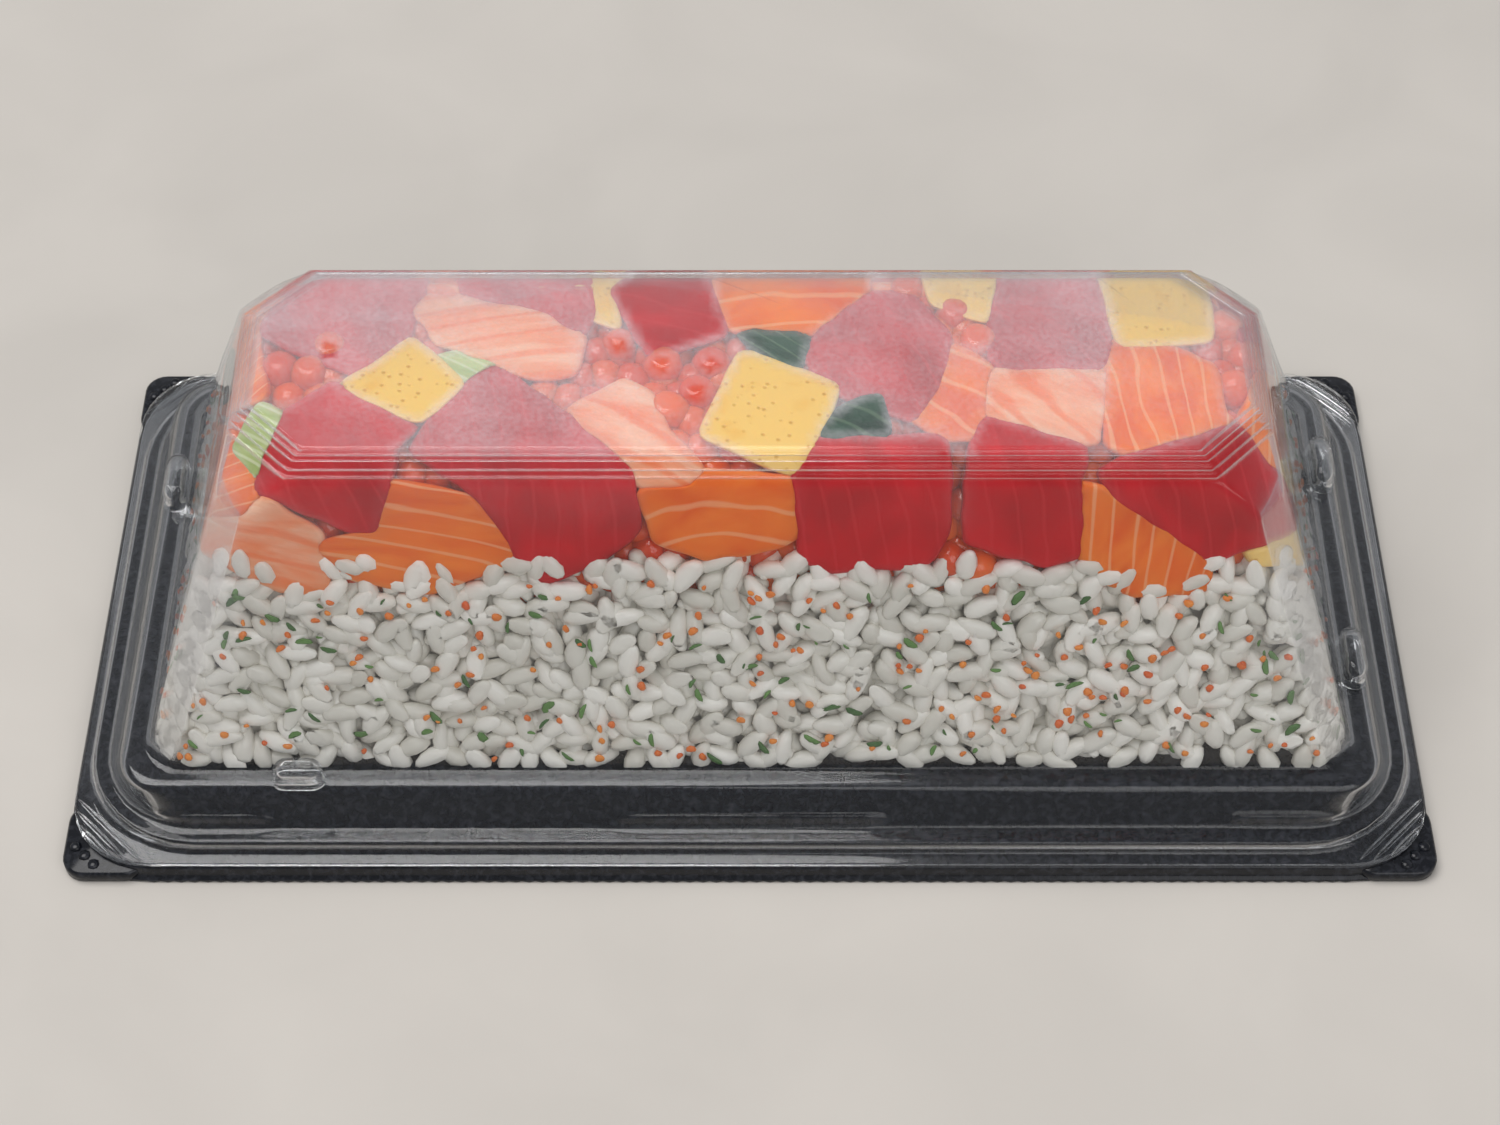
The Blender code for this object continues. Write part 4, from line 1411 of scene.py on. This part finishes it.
@dataclass
class Lid:
    """The deep clear lid: a thin shell with fine ridges on its bevel, ribs on its rim, locking
    blisters on its shelf and raised bars at its corners. A lock has a place and half sizes; a bar
    has a distance from the middle, half a length and a height; a disc is where roe touches."""

    wall: float = 0.34
    long_side: int = 98
    short_side: int = 42
    corner: int = 8
    ridges: tuple[float, ...] = (0.9, 1.75, 3.1, 4.25)
    ridge_widths: tuple[float, ...] = (0.16, 0.16, 0.2, 0.34)
    ridge_height: float = 0.24
    locks: tuple[tuple[float, float, float, float], ...] = (
        (-70.4, -41.2, 3.9, 1.9), (70.4, 41.2, 3.9, 1.9), (96.9, -18.6, 1.9, 5.0),
        (96.9, 22.0, 1.9, 5.0), (-96.8, 18.0, 1.9, 5.0),
    )
    lock_height: float = 4.2
    fog_top: float = 0.145
    fog_bevel: float = 0.02
    fog_wall: float = 0.002
    fog_end: float = 0.05
    fog_left: float = 0.02
    roe_clear: float = 0.5
    bars: tuple[tuple[float, float, float], ...] = (
        (103.4, 8.0, 4.2), (104.9, 6.4, 4.1), (106.3, 3.8, 4.0),
    )
    bar_shift: float = 27.95
    discs: tuple[tuple[float, float], ...] = (
        (-20.1, 41.9), (-13.2, 38.7), (-5.9, 38.7), (-7.9, 34.3), (-63.7, 41.1), (28.7, 24.2), (34.5, 8.6),
    )

    def profile(self) -> np.ndarray:
        """The outer profile from the middle of the ceiling to the rim's edge, with the bevel's
        ridges as narrow bells of height along its length.

        Returns:
            Ring numbers, row by row.
        """
        top = LID_KEYS[0]
        share = np.linspace(0.0, 1.0, 16, endpoint=False)[:, None]
        spine = np.array([top[0] - top[1], 0.0, 0.0, 0.0, top[4]])
        ceiling = spine + (top - spine) * share
        rest = respaced(
            filleted(LID_KEYS, LID_ROUNDING),
            lambda z: 0.17 if z > SHELF + 48.5 else 1.8 if z > SHELF + 2.0 else 0.6,
        )
        run = np.hypot(np.diff(rest[:, 1]), np.diff(rest[:, 4]))
        length = np.concatenate([[0.0], run.cumsum()])
        bells = sum(
            np.exp(-(((length - at) / width) ** 2)) for at, width in zip(self.ridges, self.ridge_widths)
        )
        return np.concatenate([ceiling, offset_profile(rest, -self.ridge_height * bells)])

    def shell(self) -> tuple[np.ndarray, np.ndarray]:
        """The lid's two surfaces joined at its edge, with the rim's ribs as bells of height and
        a faint swell.

        Returns:
            Points by row and place on the ring, and quads.
        """
        outside = self.profile()
        inside = offset_profile(outside, self.wall)[::-1]
        rings = np.concatenate([outside, inside])
        points = ring_loops(rings, self.long_side, self.short_side, self.corner)
        x, y, z = points[..., 0], np.abs(points[..., 1]), points[..., 2]
        ends = (np.abs(np.abs(x) - 84.6) - 9.0, np.abs(x) - 21.0)
        there = sum(1.0 - smooth_step((end + 0.8) / 1.6) for end in ends)
        near = np.exp(-((y - 45.6) ** 2 + (z - SHELF + 5.2) ** 2) / 1.1)
        points[..., 2] += 0.9 * near * there
        points[..., 2] -= 0.03 * (1.0 + waves(points[..., :2], 40.0, 4)) * (z > SHELF + 51.0)
        wall = smooth_step((z - SHELF - 2.0) / 8.0) * smooth_step((SHELF + 46.0 - z) / 8.0)
        bulge = 1.0 - 0.0010 * wall * (1.0 + waves(points, 34.0, 9))
        points[..., :2] *= bulge[..., None]
        return points, grid_faces(*points.shape[:2], True)

    def dome(self, x: float, y: float, half_x: float, half_y: float) -> tuple[np.ndarray, np.ndarray]:
        """A hollow blister: level rounded rings whose size falls by a cosine over the top.

        Args:
            x: Its middle along x.
            y: Its middle along y.
            half_x: Half its length.
            half_y: Half its width.

        Returns:
            Points by row and place on the ring, and quads.
        """
        shells = []
        for inset in (0.0, 0.3):
            angle = np.linspace(0.0, math.pi / 2, 7)
            size = np.concatenate([[1.08, 1.0], 0.55 + 0.45 * np.cos(angle), [0.0]])
            rise = np.concatenate([[0.0, 0.3], 0.6 + 0.4 * np.sin(angle), [1.0]])
            least = min(half_x, half_y) - inset
            rings = np.stack([
                (half_x - inset) * size, (half_y - inset) * size, least * size * 0.98,
                np.ones(len(size)), SHELF - 0.1 + rise * (self.lock_height - inset),
            ], 1)
            shells.append(rings[::-1] if inset else rings)
        points = ring_loops(np.concatenate(shells[::-1]), 6, 6, 5)
        return points + np.array([x, y, 0.0]), grid_faces(*points.shape[:2], True)

    def corner_bars(self, side_x: int, side_y: int) -> list[tuple[np.ndarray, np.ndarray]]:
        """Three raised bars across the diagonal of a corner's flange, each a long ball.

        Args:
            side_x: Which end, 1 or -1.
            side_y: Which side, 1 or -1.

        Returns:
            Each bar's points and quads.
        """
        parts = []
        ball = ball_grid(10, 9)
        way = np.array([side_x, side_y, 0.0]) / math.sqrt(2.0)
        across = np.array([way[1], -way[0], 0.0])
        for distance, half, height in self.bars:
            size = np.array([0.8, 0.45, half])
            local = np.sign(ball) * np.abs(ball) ** np.array([1.0, 1.0, 0.8]) * size
            shift = np.array([side_x * self.bar_shift, side_y * -self.bar_shift, height])
            middle = way * distance + shift
            bar = local[..., :1] * np.array([0.0, 0.0, 1.0])
            bar = bar + local[..., 1:2] * way + local[..., 2:] * across
            parts.append((bar + middle, grid_faces(*ball.shape[:2], True)))
        return parts

    def mist(self, points: np.ndarray, toppings: list[Topping]) -> np.ndarray:
        """How much fog each point of the lid holds: most on the ceiling, little on the walls, and
        none where a wet topping or an egg of roe lies against the plastic.

        Args:
            points: The lid's points.
            toppings: The pieces under it.

        Returns:
            A share for each point.
        """
        z = points[:, 2] - SHELF
        fog = self.fog_wall + (self.fog_bevel - self.fog_wall) * smooth_step((z - 38.0) / 8.0)
        fog = fog + (self.fog_top - self.fog_bevel) * smooth_step((z - 51.0) / 0.7)
        end = smooth_step((np.abs(points[:, 0]) - 70.0 - (52.0 - z) * 0.2) / 6.0)
        fog = fog + self.fog_end * end * smooth_step((z - 6.0) / 14.0) * (z < 51.5)
        left = smooth_step((-points[:, 0] - 20.0) / 50.0) * smooth_step((z - 24.0) / 14.0)
        fog = fog + self.fog_left * left * (z < 51.0)
        rear = points[:, 1] > 22.0
        places = np.stack([points[:, 0], points @ UP_SLANT], 1)
        clear = np.zeros(len(points))
        high = (z > 20.0) & ~rear
        for topping in toppings:
            if topping.wet > 0.0 and not topping.rear:
                inside = distance_inside(places[high], np.array(topping.corners, float))
                share = topping.wet * smooth_step((inside + 0.6) / 1.6)
                clear[high] = np.maximum(clear[high], share)
        for _, corners in ROE_PATCHES:
            inside = distance_inside(places[high], np.array(corners, float))
            share = self.roe_clear * smooth_step((inside + 0.6) / 1.6)
            clear[high] = np.maximum(clear[high], share)
        for disc in self.discs:
            away = np.linalg.norm(places - np.array(disc), axis=1)
            clear = np.maximum(clear, 1.0 - smooth_step((away - 1.15) / 0.5))
        patchy = 1.0 + 0.3 * waves(points, 22.0, 12) + 0.12 * waves(points, 5.0, 13)
        return fog * patchy * (1.0 - clear * 0.96) * (z > 1.0)

    def build(self, pantry: Pantry, toppings: list[Topping]) -> None:
        """The lid as one piece over the lid's node.

        Args:
            pantry: The materials.
            toppings: The cut pieces under it.
        """
        parts = [self.shell()] + [self.dome(*lock) for lock in self.locks]
        for side_x, side_y in CORNER_SIDES:
            parts += self.corner_bars(side_x, side_y)
        piece = put_mesh("lid_clear", *joined(parts), weld=True)
        put_values(piece, "mist", self.mist(points_of(piece), toppings))
        pantry.dress(piece, "lid_clear")
        dress_up(piece, "lid_clear", "lid")


@dataclass
class Tray:
    """The shallow black tray: a raised floor, a stepped rim under the lid's, a skirt with a
    toothed foot, and knurled corner tabs."""

    wall: float = 0.8
    under: float = 0.75
    knurl: float = 2.3
    tooth: float = 0.45

    def shell(self) -> tuple[np.ndarray, np.ndarray]:
        """The tray's two surfaces, joined at the foot, every other point of the foot raised.

        Returns:
            Points by row and place on the ring, and quads.
        """
        rim = respaced(filleted(LID_KEYS[4:], LID_ROUNDING[4:]), lambda z: 0.6)
        face = offset_profile(rim, self.under)
        face = face[(face[:, 0] > 97.0)]
        face[:, 4] = np.minimum(face[:, 4], SHELF - self.under)
        first = face[0]
        spine = np.array([first[0] - first[1], 0.0, 0.0, 1.0, first[4]])
        flat = spine + (first - spine) * np.linspace(0.0, 1.0, 14, endpoint=False)[:, None]
        skirt = np.array([
            (107.45, 51.65, 13.2, 1.0, 2.6), (107.5, 51.7, 13.2, 1.0, 1.4), (107.6, 51.8, 13.3, 1.0, 0.95),
            (108.15, 52.35, 13.5, 1.0, 0.75), (108.2, 52.4, 13.5, 1.0, 0.55),
            (108.2, 52.4, 13.5, 1.0, 0.0), (107.3, 51.5, 13.0, 1.0, 0.0), (106.7, 50.9, 12.6, 1.0, 0.9),
        ])
        below = offset_profile(np.concatenate([flat, face]), self.wall)[::-1]
        below[:, :2] = np.minimum(below[:, :2], (106.5, 50.7))
        rings = np.concatenate([flat, face, skirt, below])
        points = ring_loops(rings, 180, 78, 8)
        foot = len(flat) + len(face) + 5
        points[foot, ::2, 2] += self.tooth
        return points, grid_faces(*points.shape[:2], True)

    def tab(self, side_x: int, side_y: int) -> list[tuple[np.ndarray, np.ndarray]]:
        """A corner's rounded plate with rows of rounded studs on it, in a lattice turned by an
        eighth of a turn.

        Args:
            side_x: Which end, 1 or -1.
            side_y: Which side, 1 or -1.

        Returns:
            The plate's and the studs' points and quads.
        """
        plate = np.array([
            (0.0, 0.0, 0.0, 1.0, 2.4), (6.3, 6.3, 3.2, 1.0, 2.4), (6.7, 6.7, 3.5, 1.0, 2.1),
            (6.7, 6.7, 3.5, 1.0, 0.4), (6.4, 6.4, 3.3, 1.0, 0.1), (0.0, 0.0, 0.0, 1.0, 0.1),
        ])
        middle = np.array([side_x * 101.45, side_y * 45.65, 0.0])
        loops = ring_loops(plate, 6, 6, 6) + middle
        parts = [(loops, grid_faces(*loops.shape[:2], True))]
        faces = grid_faces(7, 8, True)
        ball = ball_grid(8, 5).reshape(-1, 3)
        steps = np.arange(-6, 7) * self.knurl / math.sqrt(2.0)
        first, second = np.meshgrid(steps, steps)
        places = np.stack([(first + second).ravel(), (first - second).ravel()], 1)
        corner = np.array([side_x, side_y])
        out = places * corner
        kept = (out < 6.0).all(1) & (out.sum(1) > 3.4) & (np.hypot(*(out - 2.4).clip(0).T) < 3.3)
        centres = np.concatenate([places[kept], np.full((kept.sum(), 1), 2.35)], 1) + middle
        size = np.array([0.95, 0.95, 0.6])
        studs = centres[:, None] + np.sign(ball) * np.abs(ball) ** 0.8 * size
        step = np.arange(len(centres))[:, None, None] * len(ball)
        parts.append((studs, (faces + step).reshape(-1, 4)))
        return parts

    def build(self, pantry: Pantry) -> None:
        """The tray as one piece over the tray's node.

        Args:
            pantry: The materials.
        """
        parts = [self.shell()]
        for side_x, side_y in CORNER_SIDES:
            parts += self.tab(side_x, side_y)
        piece = put_mesh("tray_black", *joined(parts), weld=True)
        pantry.dress(piece, "tray_black")
        dress_up(piece, "tray_black", "tray")


@dataclass(frozen=True)
class Stage:
    """A plain pale floor, the camera, a large soft light overhead and a weaker one in front. A
    lamp has a name, a place in metres, a power in watts and a colour."""

    place: tuple[float, float, float] = (0.0, -0.2824, 0.3761)
    target: tuple[float, float, float] = (0.0, 0.0018, 0.0124)
    lens: float = 66.84
    floor_colour: tuple[float, float, float] = (0.56, 0.53, 0.49)
    lamp_size: float = 1.0
    lamps: tuple[tuple, ...] = (
        ("window", (-0.42, 0.06, 1.38), 15.2, (1.0, 0.985, 0.97)),
        ("fill", (0.5, -0.9, 0.9), 5.0, (1.0, 0.99, 0.98)),
    )
    sky_colour: tuple[float, float, float] = (0.90, 0.91, 0.94)
    sky_strength: float = 0.40

    def floor(self, pantry: Pantry) -> None:
        """A square floor with a faint mottle, its height nothing everywhere.

        Args:
            pantry: The materials.
        """
        across = np.linspace(-1600.0, 1600.0, 9)
        x, y = np.meshgrid(across, across)
        points = np.stack([x, y, np.zeros(x.shape)], -1)
        piece = put_mesh("floor", points, grid_faces(9, 9)[:, ::-1])
        nodes = Nodes("floor")
        place = nodes.add("TexCoord").outputs["Object"]
        mottle = nodes.group(pantry.effects.mottle, {"Vector": place, "Scale": 20.0})
        darker = tuple(value * 0.94 for value in self.floor_colour)
        colour = nodes.ramp(mottle.outputs["Value"], [(0.35, darker), (0.65, self.floor_colour)])
        shader = nodes.add("BsdfPrincipled", {"Base Color": colour, "Roughness": 0.85})
        piece.data.materials.append(nodes.finish(shader))

    def light(
        self, name: str, place: tuple[float, float, float], power: float,
        colour: tuple[float, float, float],
    ) -> None:
        """A square soft light that faces the box.

        Args:
            name: Its name.
            place: Where it hangs, in metres.
            power: Its power in watts.
            colour: Its colour.
        """
        lamp = bpy.data.lights.new(name, "AREA")
        lamp.shape = "SQUARE"
        lamp.size = self.lamp_size
        lamp.energy = power
        lamp.color = colour
        obj = bpy.data.objects.new(name, lamp)
        obj.location = place
        obj.rotation_euler = (Vector((0.0, 0.0, 0.02)) - obj.location).to_track_quat("-Z", "Y").to_euler()
        bpy.context.scene.collection.objects.link(obj)

    def camera(self) -> None:
        """The camera at the photograph's place and angle."""
        lens = bpy.data.cameras.new("camera")
        lens.lens = self.lens
        lens.sensor_width = 36.0
        lens.clip_start = 0.01
        obj = bpy.data.objects.new("camera", lens)
        obj.location = self.place
        way = Vector(self.target) - Vector(self.place)
        obj.rotation_euler = way.to_track_quat("-Z", "Y").to_euler()
        bpy.context.scene.collection.objects.link(obj)
        bpy.context.scene.camera = obj

    def build(self, pantry: Pantry) -> None:
        """The floor, the camera, the lights and the pale surroundings.

        Args:
            pantry: The materials.
        """
        self.floor(pantry)
        self.camera()
        for lamp in self.lamps:
            self.light(*lamp)
        world = bpy.data.worlds.new("surroundings")
        world.use_nodes = True
        sky = world.node_tree.nodes["Background"]
        sky.inputs["Color"].default_value = (*self.sky_colour, 1.0)
        sky.inputs["Strength"].default_value = self.sky_strength
        bpy.context.scene.world = world
        bpy.context.scene.view_settings.view_transform = "Standard"
        bpy.context.scene.view_settings.look = "None"


# Each piece: its name, finish, how wet it lies on the lid, and corners as (x, s); the topmost first.
CUTS = (
    ("tamago_middle", Finish.EGG, 1, [(-1.5, 40.5), (0.5, 40.5), (13, 35.5), (12, 32), (6.5, 22),
        (-7, 28), (-6, 30.5)]),
    ("leaf_middle", Finish.LEAF, 0.9, [(-2, 44), (1, 44.5), (9, 43.5), (7.5, 38.5), (4, 38.5)]),
    ("leaf_front", Finish.LEAF, 0.95, [(10, 28), (12.5, 31), (17, 33.5), (19.5, 34), (20.5, 28)]),
    ("tuna_left", Finish.TUNA, 0.55, [(-63, 36), (-49.5, 29), (-52.5, 26), (-53.5, 21), (-56, 13.5),
        (-61, 14.5), (-73, 20), (-72, 24), (-69, 31)]),
    ("tamago_left", Finish.EGG, 1, [(-51.5, 43), (-43, 36), (-49, 30), (-61.5, 35.5), (-56.5, 38.5)]),
    ("tuna_left_middle", Finish.TUNA, 0.15, [(-39, 39), (-26.5, 30), (-17.5, 22.5), (-16.5, 14.5),
        (-22.5, 9.5), (-31, 6.5), (-34.5, 9.5), (-40, 19), (-50, 25.5), (-46, 32.5)]),
    ("tuna_front_middle", Finish.TUNA, 0.8, [(6.5, 22), (8, 27.5), (29, 27.5), (29.5, 13.5), (27, 9),
        (12, 8), (8, 10)]),
    ("tuna_middle", Finish.TUNA, 0.3, [(19, 50.5), (24.5, 50.5), (30.5, 43.5), (28, 35.5), (24, 30),
        (12.5, 34.5), (8, 40.5), (11.5, 45)]),
    ("tuna_front_right", Finish.TUNA, 0.8, [(35, 30.5), (49.5, 26), (48.5, 21), (49.5, 10), (44, 9),
        (32.5, 12.5), (32, 18), (33, 27)]),
    ("tuna_right", Finish.TUNA, 0.8, [(51.5, 22.5), (56, 24.5), (72.5, 29.5), (77, 23.5), (89.5, 17),
        (87, 15.5), (69, 9.5), (61, 14.5), (54, 19)]),
    ("tuna_back_centre", Finish.TUNA, 0.97, [(-21.5, 51), (-14, 57), (-8, 57), (-3.5, 44), (-15, 40)]),
    ("tuna_back_right", Finish.TUNA, 0.25, [(39.5, 57), (51, 57), (54, 50.5), (54.5, 42), (53.5, 38.5),
        (36.5, 38.5), (36.5, 44)]),
    ("tamago_back_right", Finish.EGG, 0.9, [(54, 57), (72, 57), (70.5, 50), (70, 43), (56, 42)]),
    ("shrimp_middle", Finish.SHRIMP, 0.35, [(-27.5, 31.5), (-19, 36.5), (-15, 34), (-12.5, 28.5),
        (-7, 22.5), (-9, 20.5), (-16, 20)]),
    ("shrimp_right", Finish.SHRIMP, 0.4, [(36.5, 38), (53.5, 38.5), (51.5, 26.5), (42.5, 28), (35, 30.5)]),
    ("salmon_right", Finish.SALMON, 0.65, [(54, 42.5), (63, 42), (70, 39), (70.5, 31), (72, 29.5),
        (56, 25), (52.5, 26.5)]),
    ("salmon_pale", Finish.SALMON, 0.3, [(31, 42), (36.5, 38.5), (35, 30.5), (33, 27.5), (29, 27.5),
        (24, 30.5), (28, 35.5)]),
    ("salmon_back_centre", Finish.SALMON, 0.8, [(-6.5, 57), (18, 57), (18.5, 50.5), (11.5, 45.5),
        (8.5, 43.5), (-3.5, 44.5)]),
    ("tamago_back_middle", Finish.EGG, 0.6, [(26.5, 57), (40, 57), (36.5, 46), (28, 49)]),
    ("shrimp_back_left", Finish.SHRIMP, 0.35, [(-51.5, 47.5), (-49.5, 50), (-42, 49), (-33, 47.5),
        (-25.5, 43.5), (-26.5, 37.5), (-33, 37), (-47, 42.5)]),
    ("tuna_back_middle", Finish.TUNA, 0.2, [(-44.5, 51), (-45, 57), (-25.5, 57), (-24, 46.5),
        (-26, 43.5), (-33, 47.5)]),
    ("tamago_back_left", Finish.EGG, 0.5, [(-25.5, 57), (-18, 57), (-21.5, 50.5), (-20, 45), (-24, 46.5)]),
    ("cucumber_middle", Finish.CUCUMBER, 0.5, [(-47.5, 40), (-40.5, 41.5), (-37.5, 38.5), (-43, 36)]),
    ("cucumber_left", Finish.CUCUMBER, 0.8, [(-73, 32.5), (-69.5, 31), (-71, 24), (-73, 21.5), (-77, 26)]),
    ("tuna_back_left", Finish.TUNA, 0.15, [(-75, 44), (-71, 57), (-50.5, 57), (-51, 48.5), (-52.5, 43),
        (-58.5, 37)]),
    ("salmon_front_left", Finish.SALMON, 0.4, [(-65, 11.5), (-56, 13.5), (-53.5, 21), (-41.5, 19),
        (-34.5, 9.5), (-43.5, 6.5), (-48.5, 4.5), (-60, 7)]),
    ("salmon_front_middle", Finish.SALMON, 0.9, [(-16.5, 19.5), (-7.5, 22.5), (6.5, 21.5), (7.5, 13.5),
        (3, 11.5), (-6.5, 10), (-14, 12.5)]),
    ("salmon_front_right", Finish.SALMON, 0.8, [(48.5, 21), (54, 19), (69, 9.5), (69, 5), (57.5, 4),
        (49.5, 9.5)]),
    ("shrimp_front_left", Finish.SHRIMP, 0.4, [(-90, 15.5), (-75, 15.5), (-72, 18.5), (-64, 13.5),
        (-64, 4), (-71, 5), (-79, 9)]),
    ("tamago_right_end", Finish.EGG, 0.7, [(80, 24), (93, 27), (99, 10), (76, 9), (74, 12), (89, 16)]),
    ("salmon_right_end", Finish.SALMON, 0.5, [(77, 38), (95, 40), (93, 26), (77.5, 23.5), (73.5, 30)]),
    ("tuna_corner", Finish.TUNA, 0.5, [(73, 60), (95, 60), (95, 41), (77, 39), (73, 50)]),
    ("salmon_left_end", Finish.SALMON, 0.3, [(-93, 33), (-77, 28), (-72.5, 22), (-72, 18.5), (-75, 15.5),
        (-93, 15.5)]),
    ("leaf_left_end", Finish.LEAF, 0.4, [(-97, 38), (-97, 47), (-82, 43), (-80.5, 34.5), (-93, 34.5)]),
    ("salmon_back_left", Finish.SALMON, 0.35, [(-101, 60), (-72.5, 60), (-75.5, 43.5), (-72.5, 33.5),
        (-80, 32), (-97, 38)]),
)
REAR_CUTS = (
    ("rear_tuna_a", Finish.TUNA, 0.2, [(-70, 26), (-54, 26), (-53, 8), (-63, 5), (-70, 9)]),
    ("rear_salmon_a", Finish.SALMON, 0.2, [(-53, 26), (-37, 26), (-35, 9), (-45, 5), (-53, 10)]),
    ("rear_tamago_a", Finish.EGG, 0.2, [(-36.5, 26), (-20, 26), (-18, 11), (-31, 7)]),
    ("rear_shrimp", Finish.SHRIMP, 0.2, [(-19.5, 26), (-3, 26), (0, 9), (-9, 5), (-17, 9)]),
    ("rear_tuna_b", Finish.TUNA, 0.2, [(-2.5, 26), (17, 26), (18, 10), (8, 5), (1, 9)]),
    ("rear_salmon_b", Finish.SALMON, 0.2, [(18, 26), (36, 26), (35, 8), (26, 6), (19, 10)]),
    ("rear_tamago_b", Finish.EGG, 0.2, [(37, 26), (52, 26), (54, 9), (43, 6), (36, 11)]),
    ("rear_tuna_c", Finish.TUNA, 0.2, [(53, 26), (70, 26), (70, 8), (62, 5), (55, 9)]),
)
ROE_PATCHES = (
    ("roe_middle", [(-24, 45.5), (-15, 40), (-3.5, 43.5), (-2, 39), (-6.5, 30.5), (-9, 27),
        (-12.5, 28.5), (-15.5, 34.5), (-24.5, 37.5)]),
    ("roe_back", [(19, 55), (26, 56), (28, 49), (37, 46), (36, 42), (31, 42), (29, 44.5), (22.5, 50.5)]),
    ("roe_right", [(70.5, 50), (77, 50), (78, 38), (77, 31), (71, 31), (70, 38)]),
    ("roe_front", [(29, 13.5), (38.5, 10.5), (39, 5.5), (31.5, 5.5), (27.5, 9)]),
    ("roe_left", [(-74, 33), (-72, 43), (-59.5, 37.5), (-63, 36), (-67, 33)]),
)
ALL_OVER = [(-74, 4), (74, 4), (78, 24), (78, 38), (75, 55), (-75, 55), (-78, 24)]


@dataclass
class Cake:
    """The whole boxed cake: its pieces in the order in which they are packed."""

    pantry: Pantry = field(default_factory=Pantry)
    room: Room = field(default_factory=Room)
    cuts: list[Topping] = field(default_factory=lambda: [Topping(*cut) for cut in CUTS])
    rear_cuts: list[Topping] = field(default_factory=lambda: [Topping(*cut, rear=True) for cut in REAR_CUTS])

    def build_cuts(self) -> None:
        """Each cut piece, ducking under those before it that come near."""
        for group in (self.cuts, self.rear_cuts):
            for number, cut in enumerate(group):
                own = np.array(cut.corners, float)
                near = [
                    other for other in group[:number]
                    if distance_inside(np.array(other.corners, float), own).max() > -6.0
                    or distance_inside(own, np.array(other.corners, float)).max() > -6.0
                ]
                cut.build(self.room, near, self.pantry)

    def build_roe(self) -> None:
        """The patches of roe that show, and sunken eggs in the gaps between the cuts."""
        covers = [np.array(cut.corners, float) for cut in self.cuts]
        for name, corners in ROE_PATCHES:
            inside = distance_inside(np.array(Lid.discs), np.array(corners, float)) > -2.5
            fixed = tuple(disc for disc, there in zip(Lid.discs, inside) if there)
            eggs = RoeCluster(name + "_eggs", corners, fixed=fixed)
            eggs.build(self.room, self.pantry, covers, (name,))
        gaps = RoeCluster("roe_gaps", ALL_OVER, sink=2.3, pitch=4.2)
        gaps.build(self.room, self.pantry, covers, ())

    def build(self) -> None:
        """Every piece of the cake."""
        Tray().build(self.pantry)
        Rice().build(self.room, self.pantry, self.cuts + self.rear_cuts)
        self.build_cuts()
        self.build_roe()
        Lid().build(self.pantry, self.cuts)


def main() -> None:
    """Builds the cake and its stage."""
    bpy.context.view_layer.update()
    cake = Cake()
    cake.build()
    Stage().build(cake.pantry)


if __name__ == "__main__":
    main()
